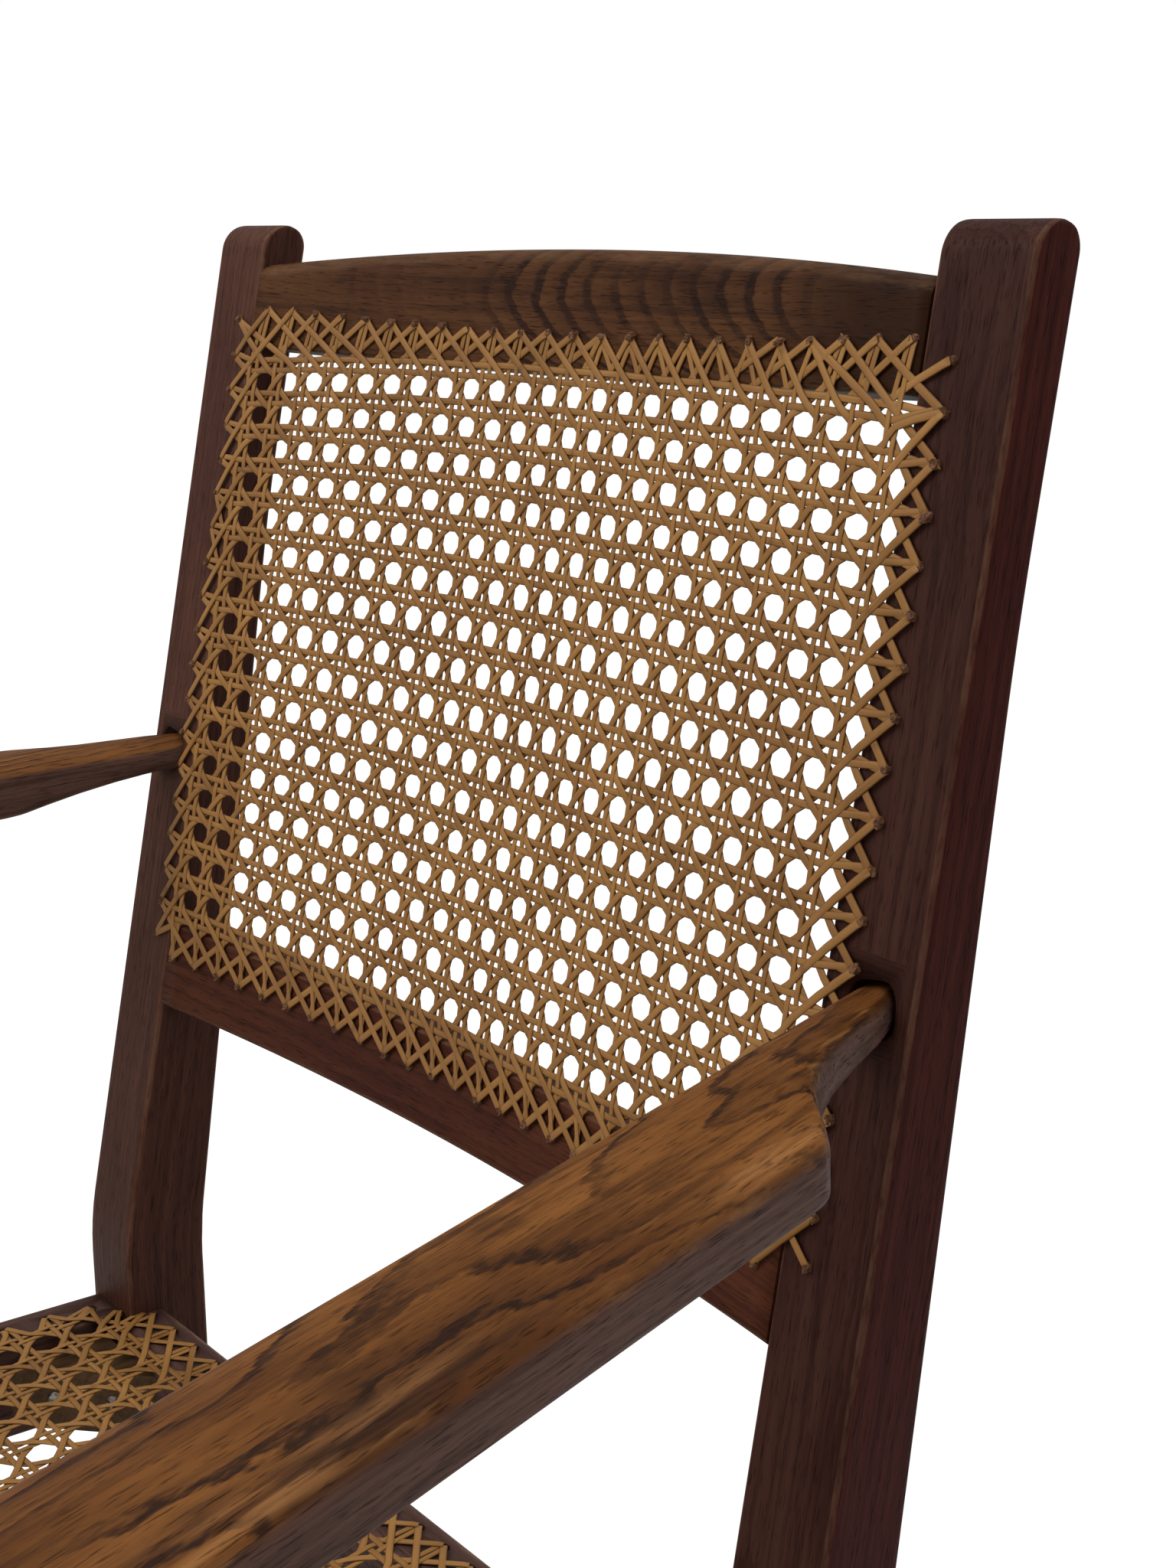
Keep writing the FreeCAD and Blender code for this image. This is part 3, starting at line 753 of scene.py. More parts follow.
def post_depth(s):
    """Depth of the post from front to rear at a place along it, counted from the cane's middle."""
    taper = eased(TAPER_START - s, TAPER_EASE) / (TAPER_START + post_bend)
    upper = post_depth_top + (post_depth_seat - post_depth_top) * taper
    lower = post_depth_seat - (post_depth_seat - foot_depth) * below_knee(s - post_foot, POST_KNEE_EASE)
    return min(upper, lower, post_depth_seat)


def post_place(a, b, s):
    bent = eased(s + post_bend, BEND_EASE)
    y = leg_front + foot_sweep * below_knee(s - post_foot, POST_KNEE_EASE) + bent * math.sin(rake)
    z = (s - post_foot) - bent * (1.0 - math.cos(rake))
    lean = rake * min(1.0, max(0.0, (s + post_bend + LEAN_RUN) / (LEAN_RUN * 2.0)))
    return chair_point(a, y + b * math.cos(lean), z - b * math.sin(lean))


def post_section(s):
    front = arc_drop(s - (post_top - post_front_round), post_front_round)
    rear = post_depth(s) - arc_drop(s - (post_top - post_rear_round), post_rear_round)
    side = arc_drop(s - (post_top - post_arris), post_arris)
    return post_inner + side, half_span - side, front, max(rear, front + 0.5), (post_arris,) * 4


post_knee = post_foot + knee_height
post_round = post_top - post_front_round
post_stations = rounded_end(post_foot, foot_arris, 1.0)[::-1] + full(
    steps(post_foot + foot_arris, post_knee - 30.0, 6)[1:],
    steps(post_knee - 20.0, post_knee + 20.0, 4),
    (-post_bend - 70.0, -post_bend - 40.0),
    steps(-post_bend - LEAN_RUN, -post_bend + LEAN_RUN, 8),
    steps(-post_bend + 60.0, 20.0, 8),
    steps(30.0, 90.0, 6),
    steps(110.0, post_round, 4),
    [post_round + post_front_round * math.sin(t) for t in steps(0.0, QUARTER, 14)[1:]])
post_right = bar("back_post_right_oak", post_stations, post_section, post_place, (0.0, 1.0, 0.0),
                 flat=(True, False))


# Arms
def arm_place(u, h, s):
    """A point u out across the arm, h up and s forward along its inner edge."""
    y = -s * math.cos(arm_slope) - h * math.sin(arm_slope)
    z = -s * math.sin(arm_slope) + h * math.cos(arm_slope)
    x = u * math.cos(arm_splay) - y * math.sin(arm_splay)
    y = u * math.sin(arm_splay) + y * math.cos(arm_splay)
    return chair_point(post_inner + arm_inset + x, y, panel_height - arm_drop + z)


def arm_crown(u):
    """Height of the crowned top across the arm."""
    fall, run = crown_inner_fall if u < crown_place else crown_outer_fall
    return crown_rise - fall * ((u - crown_place) / run) ** 2


def arm_solid(name, extra=0.0, raised=0.0, reach=None):
    """The arm, or with an allowance the shape of its socket."""
    if reach:
        stations = full([s for s in arm_cove if s <= reach])
    else:
        swing = steps(0.0, math.radians(80.0), 9)[1:-1]
        stations = full(arm_cove, steps(125.0, arm_length - arm_end_round, 22),
                        [arm_length - arm_end_round + arm_end_round * math.sin(t) for t in swing])
        stations += rounded_end(arm_length, arm_end_arris, -1.0)[1:]
    rings = []
    for s, shrink in stations:
        corner = arc_drop(min(s - (arm_length - arm_end_round), arm_end_round - 0.2), arm_end_round)
        tip = arc_drop(min(arm_tip - s, arm_tip_round - 0.1), arm_tip_round)
        outer = follow(arm_edge, s) + extra - tip - corner
        inner = corner + tip * 0.4
        low = -follow(arm_under, s)
        radii = [max(LEAST_ARRIS, radius - shrink) for radius in arm_rounds]
        ring = []
        for u, h, wear in rounded_section(inner + shrink, outer - shrink, low + shrink, -shrink, radii,
                                          (3, 0, 7, 0)):
            share = (h - low) / (-low)
            near_edge = max(0.0, 1.0 - (outer - u) / arm_edge_wear) * 0.5 if share > 0.7 else 0.0
            place = arm_place(u, h + arm_crown(u) * share + raised * share, s)
            rubbed = 1.0 if shrink > 0 else max(wear * 0.7, near_edge)
            ring.append((place, Vector((u, s, h)) * MM, rubbed))
        rings.append(ring)
    return loft(name, rings, True, False)


arm_right = arm_solid("arm_right_oak")
post_right = cut(post_right, arm_solid("socket", extra=2.0, raised=3.0, reach=44.0))


# Front legs, swept outwards above the seat to carry the arms
def rail_outer(y):
    """Outer face of the side rail, which lies a reveal inside the legs' faces."""
    return half_span - rail_reveal + (leg_front - y) * side_splay


LEG_KNEE_EASE = 20.0
SWEEP_EASE = 22.0
leg_rear = -(seat_front - leg_size)
leg_outer = rail_outer(leg_rear) + rail_reveal
leg_inner = leg_outer - leg_size
leg_middle_y = leg_rear - leg_size / 2.0
arm_middle_x = (post_inner + arm_inset - leg_middle_y * math.tan(arm_splay)
                + arm_width / 2.0 / math.cos(arm_splay))
arm_bottom = (panel_height - arm_drop - arm_thick
              + leg_middle_y / math.cos(arm_splay) * math.sin(arm_slope))


def leg_section(z):
    step = (leg_size - foot_size) / 2.0 * below_knee(z, LEG_KNEE_EASE)
    share = eased(z - sweep_start, SWEEP_EASE) / (arm_bottom + arm_thick / 2.0 - sweep_start)
    inner = leg_inner + step + (arm_middle_x - leg_top_width / 2.0 - leg_inner) * share
    outer = leg_outer - step + (arm_middle_x + leg_top_width / 2.0 - leg_outer) * share
    return inner, outer, -seat_front + step, leg_rear - step, (leg_arris,) * 4


leg_stations = rounded_end(0.0, foot_arris, 1.0)[::-1] + full(
    steps(foot_arris, 300.0, 5)[1:], (315.0, 330.0, 345.0, 370.0, 385.0), steps(391.0, 440.0, 8),
    steps(455.0, arm_bottom + 3.0, 8))
leg_right = bar("front_leg_right_oak", leg_stations, leg_section, chair_point, (0.7, 0.2, 0.1))


# Back rails, hollow for the sitter's back
def crest_section(x):
    return 0.0, back_rail_thick, crest_low, crest_end_top + crest_rise * arch(x), crest_arrises


def bowed_place(n, v, x):
    return back_point(x, n + rail_bow * arch(x), v)


across_back = full(steps(-post_inner, post_inner, 44))
lower_section = steady(0.0, back_rail_thick, -lower_rail_low, -lower_rail_top, lower_arrises)
crest = bar("crest_rail_oak", across_back, crest_section, bowed_place, fill=(0, 2, 0, 2))
lower_rail = bar("lower_back_rail_oak", across_back, lower_section, bowed_place, (0.3, 0.1, 0.4),
                 fill=(0, 2, 0, 2))

# Seat rails
front_rear_face = -(seat_front - front_reveal - seat_rail_thick)
rear_front_face = -rear_rail_back - seat_rail_thick


def seat_rail_section(outer, outer_round, inner_round):
    return steady(outer - seat_rail_thick, outer, seat_height - seat_rail_depth, seat_height,
                  (2.0, 2.5, outer_round, inner_round))


def cross_place(a, b, s):
    return chair_point(s, a, b)


def side_rail_place(a, b, s):
    return chair_point(rail_outer(s) - seat_rail_thick + a, s, b)


rear_rail = bar("seat_rail_rear_oak", full(steps(-post_inner, post_inner, 10)),
                seat_rail_section(-rear_rail_back, 5.0, 2.0), cross_place, (0.9, 0.0, 0.3))
front_rail = bar("seat_rail_front_oak", full(steps(-leg_inner, leg_inner, 10)),
                 seat_rail_section(front_rear_face, 2.0, 5.0), cross_place, (0.2, 0.8, 0.6))
side_rail = bar("seat_rail_right_oak", full(steps(leg_rear, leg_front, 10)),
                seat_rail_section(seat_rail_thick, 5.0, 2.0), side_rail_place, (0.5, 0.5, 0.2))

# Stretchers
rear_leg_x = half_span - post_width / 2.0
front_leg_x = leg_outer - leg_size / 2.0
stretcher_rear = leg_front + foot_depth
stretcher_run = (front_leg_x - rear_leg_x) / (leg_middle_y - stretcher_rear)
stretcher_section = steady(-stretcher_thick / 2.0, stretcher_thick / 2.0, -stretcher_depth / 2.0,
                           stretcher_depth / 2.0, (2.5,) * 4)
cross_y = (stretcher_rear + leg_middle_y) / 2.0


def stretcher_middle(y):
    return rear_leg_x + (y - stretcher_rear) * stretcher_run


def side_stretcher_place(a, b, s):
    return chair_point(stretcher_middle(s) + a, s, stretcher_height + b)


def cross_stretcher_place(a, b, s):
    return chair_point(s, cross_y + a, stretcher_height + b)


cross_half = stretcher_middle(cross_y) - stretcher_thick / 2.0 + 0.5
stretcher_right = bar("side_stretcher_right_oak", full(steps(leg_rear - 6.0, leg_front + 24.0, 8)),
                      stretcher_section, side_stretcher_place, (0.15, 0.6, 0.8))
cross = bar("cross_stretcher_oak", full(steps(-cross_half, cross_half, 8)), stretcher_section,
            cross_stretcher_place, (0.6, 0.3, 0.9))


# Cane weave, drawn flat and then laid on the chair by its tree
def back_hole_line(x):
    return back_hole_top - back_hole_dip * arch(x)


def widened(places, first, last):
    """The places with one step more at both ends, where the strands leave for their holes."""
    return [places[0] - first] + places + [places[-1] + last]


def spread(count, pitch, middle=0.0):
    """Places at one pitch about a middle."""
    return [(k - (count - 1) / 2.0) * pitch + middle for k in range(count)]


back_columns = [x + follow(back_column_drift, x) for x in spread(back_columns_count, back_pitch, back_shift)]
back_rows = [v + follow(back_row_drift, v) for v in spread(back_rows_count, back_pitch)]
back_holes = [(x, back_hole_line(x)) for x in spread(back_columns_count, back_hole_pitch, back_hole_middle)]
back_holes += [(x, -back_hole_low) for x in back_columns]
back_holes += [(x, back_side_top - back_side_pitch * k)
               for x in (-back_hole_left, back_hole_right) for k in range(back_side_count)]


def back_bend(x, v):
    """The weave's own slight distortion: rows droop towards both ends, columns lean."""
    u = (x - back_bend_middle) / back_bend_half
    w = v / back_bend_height
    return x + (1.9 + u) * w, v - 0.5 * u - 1.15 * u * u + u ** 3 - (0.7 + 2.65 * u) * u * w


def no_bend(x, y):
    return x, y


def back_clearance(x, v):
    """How far a point is inside the back's line of holes."""
    return min(back_hole_right - x, back_hole_left + x, v + back_hole_low, back_hole_line(x) - v)


def seat_side(y):
    """Line of the seat's holes along a side rail."""
    return rail_outer(y) - seat_side_inset


def seat_clearance(x, y):
    """How far a point is inside the seat's line of holes, which passes the posts and legs aslant."""
    to_post = (post_inner - abs(x) + leg_front - y + seat_corner_inset) / math.sqrt(2.0)
    to_leg = (leg_inner - abs(x) + y - leg_rear + seat_corner_inset) / math.sqrt(2.0)
    return min(seat_side(y) - abs(x), seat_rear_holes - y, y - seat_front_holes, to_post, to_leg)


def seat_column(k):
    """Place of an upright pair of the seat, spaced wider towards the left."""
    return seat_middle + seat_pitch_x * k - (seat_crowding * k * k if k < 0 else 0.0)


seat_columns = [seat_column(k) for k in range(-15, 17)]
seat_rows = [seat_first_row - seat_pitch_y * k for k in range(20)][::-1]


def seat_hole_list():
    holes = [(x, y) for x in seat_columns for y in (seat_rear_holes, seat_front_holes)]
    holes += [(side * seat_side(y), y) for y in seat_rows for side in (-1, 1)]
    holes = [hole for hole in holes if seat_clearance(*hole) > -0.5]
    corners = ((post_inner, seat_rear_holes, leg_front, -1.0), (leg_inner, seat_front_holes, leg_rear, 1.0))
    for side in (-1, 1):
        for share in seat_corner_shares:
            for inner, line, face, away in corners:
                x0 = inner - abs(line - face) + seat_corner_inset
                y1 = face + away * seat_corner_run
                holes.append((side * (x0 + (seat_side(y1) - x0) * share), line + (y1 - line) * share))
    return holes


seat_holes = seat_hole_list()


class Weave:
    """Six-way cane pattern on a lattice of upright and level pairs inside a line of holes."""

    def __init__(self, columns, rows, holes, clearance, bend, margin, wander):
        self.columns = columns
        self.rows = rows
        self.holes = holes
        self.clearance = clearance
        self.bend = bend
        self.margin = margin
        self.wander = wander

    def at(self, values, place):
        """Millimetres of a place counted in lattice steps, also past the ends."""
        low = min(max(int(math.floor(place)) + 1, 0), len(values) - 2)
        return values[low] + (values[low + 1] - values[low]) * (place + 1.0 - low)

    def point(self, i, j, dx, dy, height):
        """Place on the lattice moved by dx and dy, its height, and whether pairs of strands lie there."""
        x, y = self.bend(self.at(self.columns, i), self.at(self.rows, j))
        held = 0 <= i <= len(self.columns) - 3 and 0 <= j <= len(self.rows) - 3
        return [x + dx, y + dy, height, held]

    def way_out(self, points, last):
        """Where a strand that runs on along the lattice crosses the line of holes."""
        before = self.clearance(*points[last][:2])
        for k in range(last + 1, len(points)):
            after = self.clearance(*points[k][:2])
            if after <= 0:
                return Vector(points[k - 1][:2]).lerp(Vector(points[k][:2]), before / (before - after))
            before = after
        return None

    def ended(self, points, aside, height):
        """Keeps the points well inside the holes and leads both ends straight into their holes."""
        kept = [k for k, p in enumerate(points) if p[3] and self.clearance(p[0], p[1]) >= self.margin]
        across = len(kept) < 2
        if across:
            inside = [k for k, p in enumerate(points) if self.clearance(p[0], p[1]) > 0.0]
            if len(inside) < 2:
                return None
            kept = [inside[len(inside) // 2]]
        ends = []
        reached = []
        for chain, last in ((points[::-1], len(points) - 1 - kept[0]), (points, kept[-1])):
            way_out = self.way_out(chain, last)
            if not way_out:
                return None
            aim = way_out + (Vector(chain[last][:2]) - way_out).normalized() * hole_short
            hole = min(self.holes, key=lambda hole: (Vector(hole) - aim).length)
            toward = Vector(chain[last][:2]) - Vector(hole)
            if not 1.0 < toward.length < hole_reach:
                return None
            toward.normalize()
            side = Vector((-toward.y, toward.x)) * aside
            reached.append(Vector(hole))
            ends.append([[hole[0] + toward.x * away + side.x, hole[1] + toward.y * away + side.y, level]
                         for away, level in zip(hole_lead, (-hole_depth, height - hole_dip, height))])
        if across and (reached[0] - reached[1]).length < least_across:
            return None
        middle = [] if across else [p[:3] for p in points[kept[0]:kept[-1] + 1]]
        return self.wandered(ends[0] + middle + ends[1][::-1], len(ends[0]))

    def wandered(self, points, kept):
        """Lets a strand stray a little from its true line."""
        phase = chance.uniform(0.0, TURN)
        length = chance.uniform(40.0, 90.0)
        amount = self.wander * chance.uniform(0.4, 1.0)
        for point in points[kept:-kept]:
            stray = amount * math.sin(phase + (point[0] + point[1]) * TURN / length)
            point[0] += stray
            point[1] -= stray
        return points

    def pairs(self, upright):
        """Pairs of strands along one way of the lattice, over and under the pairs across them."""
        own, others = (self.columns, self.rows) if upright else (self.rows, self.columns)
        strands = []
        for line in range(len(own) - 2):
            for side in (-1, 1):
                points = []
                for step in range(-2, len(others)):
                    for place, over in ((step, -1), (step, 1), (step + 0.5, 0)):
                        height = side * over * weave_height
                        if upright:
                            point = self.point(line, place, side * upright_half, over * level_half, height)
                        else:
                            point = self.point(place, line, over * upright_half, side * level_half, -height)
                        points.append(point)
                strands.append(self.ended(points, side * 1.0, 0.0 if upright else 0.1))
        return [strand for strand in strands if strand]

    def slants(self, rising):
        """Single strands, over one set of pairs and under the other."""
        strands = []
        count = len(self.columns) + len(self.rows)
        for k in range(-count, count * 2):
            points = []
            for half in range(-4, len(self.columns) * 2 + 2):
                i = half / 2.0
                j = i + k + 0.5 - len(self.rows) if rising else k + 0.5 - i
                if not -2.0 <= j <= len(self.rows):
                    continue
                on_upright = half % 2 == 0
                height = slant_height if on_upright == rising else -slant_height
                for over in (-1, 1):
                    reach = over * slant_reach
                    bow = slant_bend * (-over if on_upright else over)
                    down = reach - bow if rising else bow - reach
                    points.append(self.point(i, j, reach + bow, down, height))
            if len(points) > 3:
                strands.append(self.ended(points, 0.0, 0.6 if rising else 0.3))
        return [strand for strand in strands if strand]


def strand_lines(name, strands):
    """Edge chains of the strands' middle lines, still flat."""
    points = []
    edges = []
    for strand in strands:
        first = len(points)
        points += [Vector(point) * MM for point in strand]
        edges += [(first + k, first + k + 1) for k in range(len(strand) - 1)]
    return piece_of_points(name, points, edges)


def strand_tree(name, lay, inputs):
    """Tree that gives flat middle lines the flat section of cane and lays them on the chair."""
    tree, graph, wires = geometry_tree(name, ["Strand width", "Strand thickness", "Lift", "Seed"] + inputs)
    curve = graph.node("GeometryNodeMeshToCurve", inputs={0: wires["Geometry"]})
    curve = graph.node("GeometryNodeCurveSplineType", {"spline_type": "CATMULL_ROM"}, {0: curve})
    curve = graph.node("GeometryNodeSetSplineResolution", inputs={0: curve, 2: 2})
    curve = graph.node("GeometryNodeSetCurveNormal", {"mode": "Z_UP"}, {0: curve})
    curve = graph.stored(curve, "CURVE", "tone", graph.random(0.0, 1.0, wires["Seed"]))
    curve = graph.stored(curve, "POINT", "along", graph.node("GeometryNodeSplineParameter", out=1))
    circle = graph.node("GeometryNodeCurvePrimitiveCircle", {"mode": "RADIUS"}, {0: 8, 4: 1.0})
    across, upward = graph.parts(graph.node("GeometryNodeInputPosition"))[:2]
    circle = graph.stored(circle, "POINT", "rim", graph.math("ABSOLUTE", across))
    level = graph.math("MINIMUM", graph.math("MAXIMUM", upward * 1.5, -1.0), 1.0)
    circle = graph.moved(circle, place=graph.joined(across * wires["Strand width"] * 0.5,
                                                    level * wires["Strand thickness"] * 0.5, 0.0))
    solid = graph.node("GeometryNodeCurveToMesh", inputs={0: curve, 1: circle, 3: True})
    solid = graph.moved(solid, place=lay(graph, wires))
    solid = graph.node("GeometryNodeSetShadeSmooth", inputs={0: solid, 2: True})
    close_tree(graph, solid, cane)
    return tree


def mound(graph, share):
    """One where the share is nothing, and nothing where it is one or more, as arch gives it."""
    return graph.math("MAXIMUM", 1.0 - share * share, 0.0)


def lay_on_back(graph, wires):
    x, v, height = graph.parts(graph.node("GeometryNodeInputPosition"))
    bow = mound(graph, x / (post_inner * MM))
    belly = mound(graph, (v - belly_middle * MM) / (crest_low * MM))
    n = bow * wires["Bow"] + bow * belly * wires["Belly"] - wires["Lift"] - height
    y = n * math.cos(rake) + v * math.sin(rake) + setback * MM
    return graph.joined(x, y, v * math.cos(rake) - n * math.sin(rake) + panel_height * MM)


def lay_on_seat(graph, wires):
    x, y, height = graph.parts(graph.node("GeometryNodeInputPosition"))
    hollow = mound(graph, x / (sag_half_width * MM))
    hollow = hollow * mound(graph, (y - sag_middle * MM) / (sag_half_length * MM))
    z = height + wires["Lift"] + seat_height * MM - hollow * wires["Sag"]
    return graph.joined(x, y + setback * MM, z)


back_weave = Weave(widened(back_columns, *back_side_steps), widened(back_rows, *back_end_steps),
                   back_holes, back_clearance, back_bend, margin=6.0, wander=0.28)
seat_weave = Weave(widened(seat_columns, *seat_side_steps), widened(seat_rows, *seat_end_steps),
                   seat_holes, seat_clearance, no_bend, margin=7.0, wander=0.35)
back_tree = strand_tree("back cane", lay_on_back, ["Bow", "Belly"])
seat_tree = strand_tree("seat cane", lay_on_seat, ["Sag"])
cane_sizes = {"Strand thickness": strand_thick * MM, "Lift": lift * MM,
              "Bow": rail_bow * MM, "Belly": back_belly * MM, "Sag": seat_sag * MM}
for where, weave, tree in (("back", back_weave, back_tree), ("seat", seat_weave, seat_tree)):
    sets = {"upright": weave.pairs(True), "level": weave.pairs(False), "rising": weave.slants(True),
            "falling": weave.slants(False)}
    for seed, (direction, strands) in enumerate(sets.items()):
        lines = strand_lines("cane_" + where + "_" + direction, strands)
        width = slant_width if direction in ("rising", "falling") else strand_width
        woven = grown(lines, tree, {**cane_sizes, "Seed": seed, "Strand width": width * MM})
        settle(woven, cane, "cane", "cane_" + where)


# Pegs in the back's holes
def peg_tree():
    """Tree that sets a slightly frayed peg at each point and lays it on the back."""
    tree, graph, wires = geometry_tree("cane pegs", ["Radius", "Height", "Lift", "Bow", "Belly", "Seed"])
    peg = graph.node("GeometryNodeMeshCone", {"fill_type": "TRIANGLE_FAN"},
                     {0: 9, 1: 3, 2: 2, 3: wires["Radius"] * 0.7, 4: wires["Radius"], 5: wires["Height"]})
    here = graph.node("GeometryNodeInputPosition")
    rough = graph.node("ShaderNodeTexNoise", inputs={"Vector": here, "Scale": 900.0, "Detail": 1.0},
                       out="Color")
    rough = graph.vector("SUBTRACT", rough, (0.5, 0.5, 0.5))
    peg = graph.moved(peg, shift=graph.vector("MULTIPLY", rough, peg_fray))
    spin = graph.random((-0.25, -0.25, 0.0), (0.25, 0.25, TURN), wires["Seed"])
    size = graph.random((0.75, 0.8, 0.75), (1.15, 1.15, 1.15), wires["Seed"] + 1.0)
    pegs = graph.node("GeometryNodeInstanceOnPoints",
                      inputs={0: wires["Geometry"], 2: peg, 5: spin, 6: size})
    pegs = graph.node("GeometryNodeRealizeInstances", inputs={0: pegs})
    pegs = graph.moved(pegs, place=lay_on_back(graph, wires))
    pegs = graph.node("GeometryNodeSetShadeSmooth", inputs={0: pegs, 2: False})
    close_tree(graph, pegs, peg_wood)
    return tree


peg_points = piece_of_points("cane_pegs", [Vector((x, v, 0.0)) * MM for x, v in back_holes])
pegs = grown(peg_points, peg_tree(), {"Radius": peg_radius * MM, "Height": peg_height * MM, "Belly": 0.0,
                                      "Lift": -peg_sink * MM, "Bow": rail_bow * MM, "Seed": 3})
settle(pegs, peg_wood, "pin_wood")


# Screws in the corner blocks
def screw_points(name):
    """A point for each screw head, two in each block's open face, with the way it faces."""
    places = []
    ways = []
    for corner_y, toward in ((rear_front_face, -1.0), (front_rear_face, 1.0)):
        far_y = corner_y + toward * block_leg
        near = Vector((rail_outer(corner_y) - seat_rail_thick - block_leg, corner_y))
        run = Vector((rail_outer(far_y) - seat_rail_thick, far_y)) - near
        for share in (0.3, 0.7):
            spot = near + run * share
            height = seat_height - block_drop - block_depth / 2.0
            for side in (1.0, -1.0):
                places.append(chair_point(side * spot.x, spot.y, height))
                ways.append((-side * abs(run.y), toward * abs(run.x), 0.0))
    made = piece_of_points(name, places)
    facing = made.data.attributes.new("facing", "FLOAT_VECTOR", "POINT")
    for item, way in zip(facing.data, ways):
        item.vector = way
    return made


def screw_tree():
    """Tree that sets a slotted screw head at each point."""
    tree, graph, wires = geometry_tree("corner screws", ["Radius", "Height", "Seed"])
    radius = wires["Radius"]
    height = wires["Height"]
    head = graph.node("GeometryNodeMeshCone",
                      inputs={0: 20, 1: 1, 2: 1, 3: radius * 0.72, 4: radius, 5: height})
    slot = graph.node("GeometryNodeMeshCube", inputs={0: graph.joined(radius * 3.0, radius * 0.26, height)})
    slot = graph.moved(slot, shift=graph.joined(0.0, 0.0, height * 0.9))
    head = graph.node("GeometryNodeMeshBoolean", {"operation": "DIFFERENCE"}, {0: head, 1: slot})
    facing = graph.node("GeometryNodeInputNamedAttribute", {"data_type": "FLOAT_VECTOR"}, {0: "facing"})
    turned = graph.node("FunctionNodeAlignRotationToVector", {"axis": "Z"}, {2: facing})
    spin = graph.joined(0.0, 0.0, graph.random(0.0, TURN, wires["Seed"]))
    spin = graph.node("FunctionNodeEulerToRotation", inputs={0: spin})
    turned = graph.node("FunctionNodeRotateRotation", {"rotation_space": "LOCAL"}, {0: turned, 1: spin})
    screws = graph.node("GeometryNodeInstanceOnPoints", inputs={0: wires["Geometry"], 2: head, 5: turned})
    close_tree(graph, screws, screw_steel)
    return tree


screws = grown(screw_points("corner_screws"), screw_tree(),
               {"Radius": screw_radius * MM, "Height": screw_height * MM, "Seed": 5})
settle(screws, screw_steel, "screw_steel")


# Holes of the seat, drilled through the rails that they lie in by these margins
DRILL_PAST = 2.0
EDGE_MARGIN = 4.0
END_MARGIN = 3.0


def drilled(rail, choose):
    """A rail with the seat's holes that lie on it."""
    shape = bmesh.new()
    for x, y in [hole for hole in seat_holes if choose(*hole)]:
        made = bmesh.ops.create_cone(shape, cap_ends=True, segments=10, radius1=seat_hole_radius * MM,
                                     radius2=seat_hole_radius * MM,
                                     depth=(seat_rail_depth + DRILL_PAST * 2.0) * MM)
        bmesh.ops.translate(shape, verts=made["verts"],
                            vec=chair_point(x, y, seat_height - seat_rail_depth / 2.0))
    return cut(rail, piece_of_shape("drill", shape))


def on_side_rail(x, y):
    between_joints = leg_rear + END_MARGIN < y < leg_front - END_MARGIN
    return x > rail_outer(y) - seat_rail_thick + EDGE_MARGIN and between_joints


side_rail_left = opposite(side_rail, "seat_rail_left_oak")
drilled(rear_rail, lambda x, y: y > rear_front_face + EDGE_MARGIN and abs(x) < post_inner - END_MARGIN)
drilled(front_rail, lambda x, y: y < front_rear_face - EDGE_MARGIN and abs(x) < leg_inner - END_MARGIN)
drilled(side_rail, on_side_rail)
drilled(side_rail_left, lambda x, y: on_side_rail(-x, y))

# Left-hand pieces, and what every wooden piece is made of
for right, node, right_oak, left_oak, slot in (
        (post_right, "back_post", post_oak, pale_post_oak, "post_oak"),
        (arm_right, "arm", arm_oak, arm_oak, "arm_oak"),
        (leg_right, "front_leg", frame_oak, frame_oak, "frame_oak"),
        (stretcher_right, "side_stretcher", frame_oak, frame_oak, "frame_oak")):
    settle(opposite(right, node + "_left_oak"), left_oak, slot, node + "_left")
    settle(right, right_oak, slot, node + "_right")
for piece, node in ((side_rail, "seat_rail_right"), (side_rail_left, "seat_rail_left"),
                    (rear_rail, "seat_rail_rear"), (front_rail, "seat_rail_front"),
                    (cross, "cross_stretcher")):
    settle(piece, frame_oak, "frame_oak", node)
settle(crest, crest_oak, "crest_oak", "crest_rail")
settle(lower_rail, rail_oak, "frame_oak", "lower_back_rail")

# Nodes that keep their own meshes
for node, material in (("corner_block_front_left", block_wood), ("corner_block_front_right", block_wood),
                       ("corner_block_rear_left", block_wood), ("corner_block_rear_right", block_wood),
                       ("rail_tenon_pins", peg_wood), ("arm_screws", screw_steel)):
    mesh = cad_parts[node].data
    mesh.materials.clear()
    mesh.materials.append(material)


# Floor, light and camera
def plain_floor(size=6.0):
    corners = [(-size, -size, 0), (size, -size, 0), (size, size, 0), (-size, size, 0)]
    floor = piece_of_points("floor", corners, faces=[(0, 1, 2, 3)])
    material, graph = new_material("pale_floor")
    seen = graph.node("ShaderNodeLightPath", out="Is Camera Ray")
    away = graph.vector("LENGTH", graph.surface("Object"), out="Value")
    fade = graph.band(away, 0.45, 1.3)
    plain = graph.node("ShaderNodeBsdfDiffuse", inputs={"Color": (0.82, 0.82, 0.82, 1.0)})
    bright = graph.node("ShaderNodeEmission", inputs={"Color": (1.0, 1.0, 1.0, 1.0), "Strength": 1.1})
    graph.finish(graph.node("ShaderNodeMixShader",
                            inputs={0: seen * (0.72 + fade * 0.28), 1: plain, 2: bright}))
    floor.data.materials.append(material)


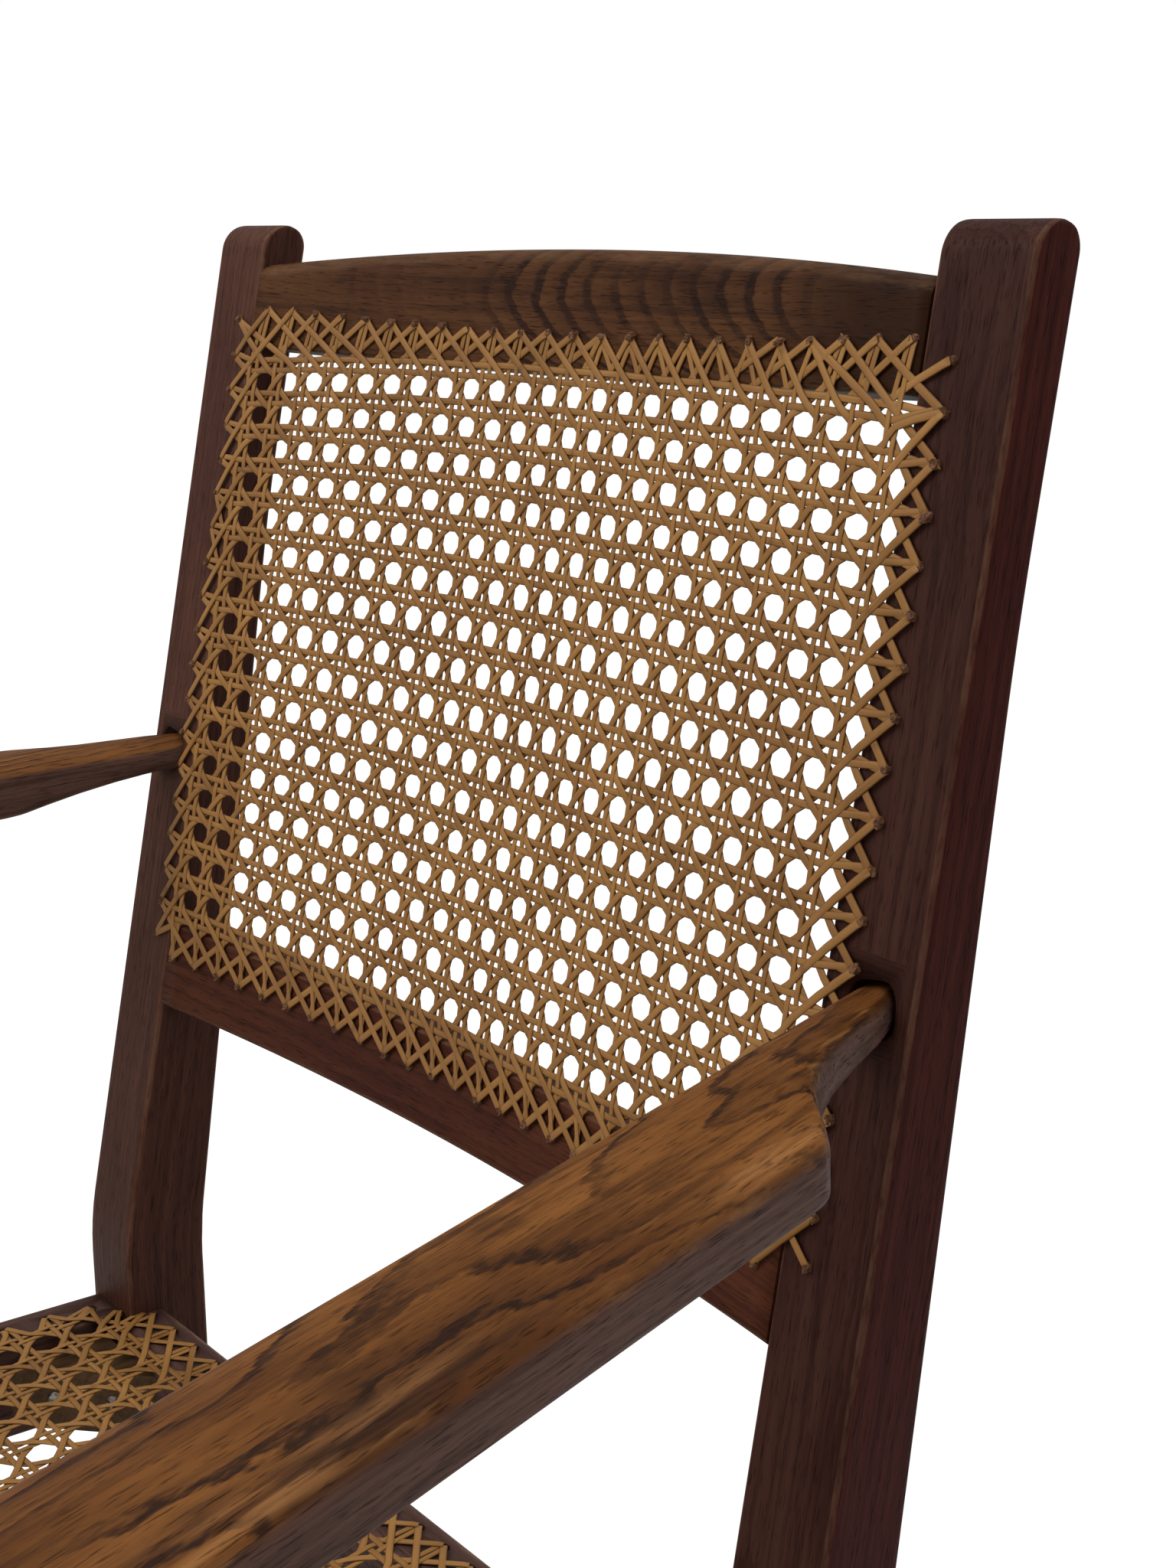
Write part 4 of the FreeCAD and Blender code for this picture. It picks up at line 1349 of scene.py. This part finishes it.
def plain_world():
    world = bpy.data.worlds.new("white room")
    bpy.context.scene.world = world
    world.use_nodes = True
    world.node_tree.nodes.clear()
    graph = Graph(world.node_tree)
    seen = graph.node("ShaderNodeLightPath", out="Is Camera Ray")
    room = graph.node("ShaderNodeBackground", inputs={"Color": (1.0, 0.985, 0.965, 1.0), "Strength": 0.55})
    white = graph.node("ShaderNodeBackground", inputs={"Color": (1.0, 1.0, 1.0, 1.0), "Strength": 1.0})
    graph.finish(graph.node("ShaderNodeMixShader", inputs={0: seen, 1: room, 2: white}), "World")


def soft_lamp(name, place, aim, size, power):
    data = bpy.data.lights.new(name, "AREA")
    data.shape = "SQUARE"
    data.size = size
    data.energy = power
    lamp = object_of(name, data)
    lamp.location = place
    lamp.rotation_euler = (Vector(aim) - Vector(place)).to_track_quat("-Z", "Y").to_euler()


plain_floor()
plain_world()
soft_lamp("window", place=(-1.2, -1.6, 2.4), aim=(0.0, 0.1, 0.6), size=1.4, power=42.0)
soft_lamp("ceiling", place=(0.4, 0.2, 2.8), aim=(0.0, 0.1, 0.5), size=2.2, power=34.0)
bpy.context.scene.view_settings.view_transform = "Standard"

# The camera stands right of and in front of the back, level with its top, and looks down a little
FOCAL_PIXELS = 2673.0
CENTRE_RIGHT = -23.0
CENTRE_DOWN = -196.0
IMAGE_HEIGHT = 2048.0
SENSOR = 36.0
camera_place = chair_point(607.4, -461.6, 905.7)
camera_forward = Vector((-0.74965, 0.63099, -0.19970)).normalized()
camera_up = Vector((-0.14454, 0.13836, 0.97978)).normalized()
lens = bpy.data.cameras.new("camera")
lens.sensor_width = SENSOR
lens.lens = FOCAL_PIXELS / IMAGE_HEIGHT * SENSOR
lens.shift_x = -CENTRE_RIGHT / IMAGE_HEIGHT
lens.shift_y = CENTRE_DOWN / IMAGE_HEIGHT
lens.clip_start = 0.01
camera = object_of("camera", lens)
camera_right = camera_forward.cross(camera_up).normalized()
turned = Matrix((camera_right, camera_right.cross(camera_forward), -camera_forward)).transposed()
camera.matrix_world = Matrix.Translation(camera_place) @ turned.to_4x4()
bpy.context.scene.camera = camera
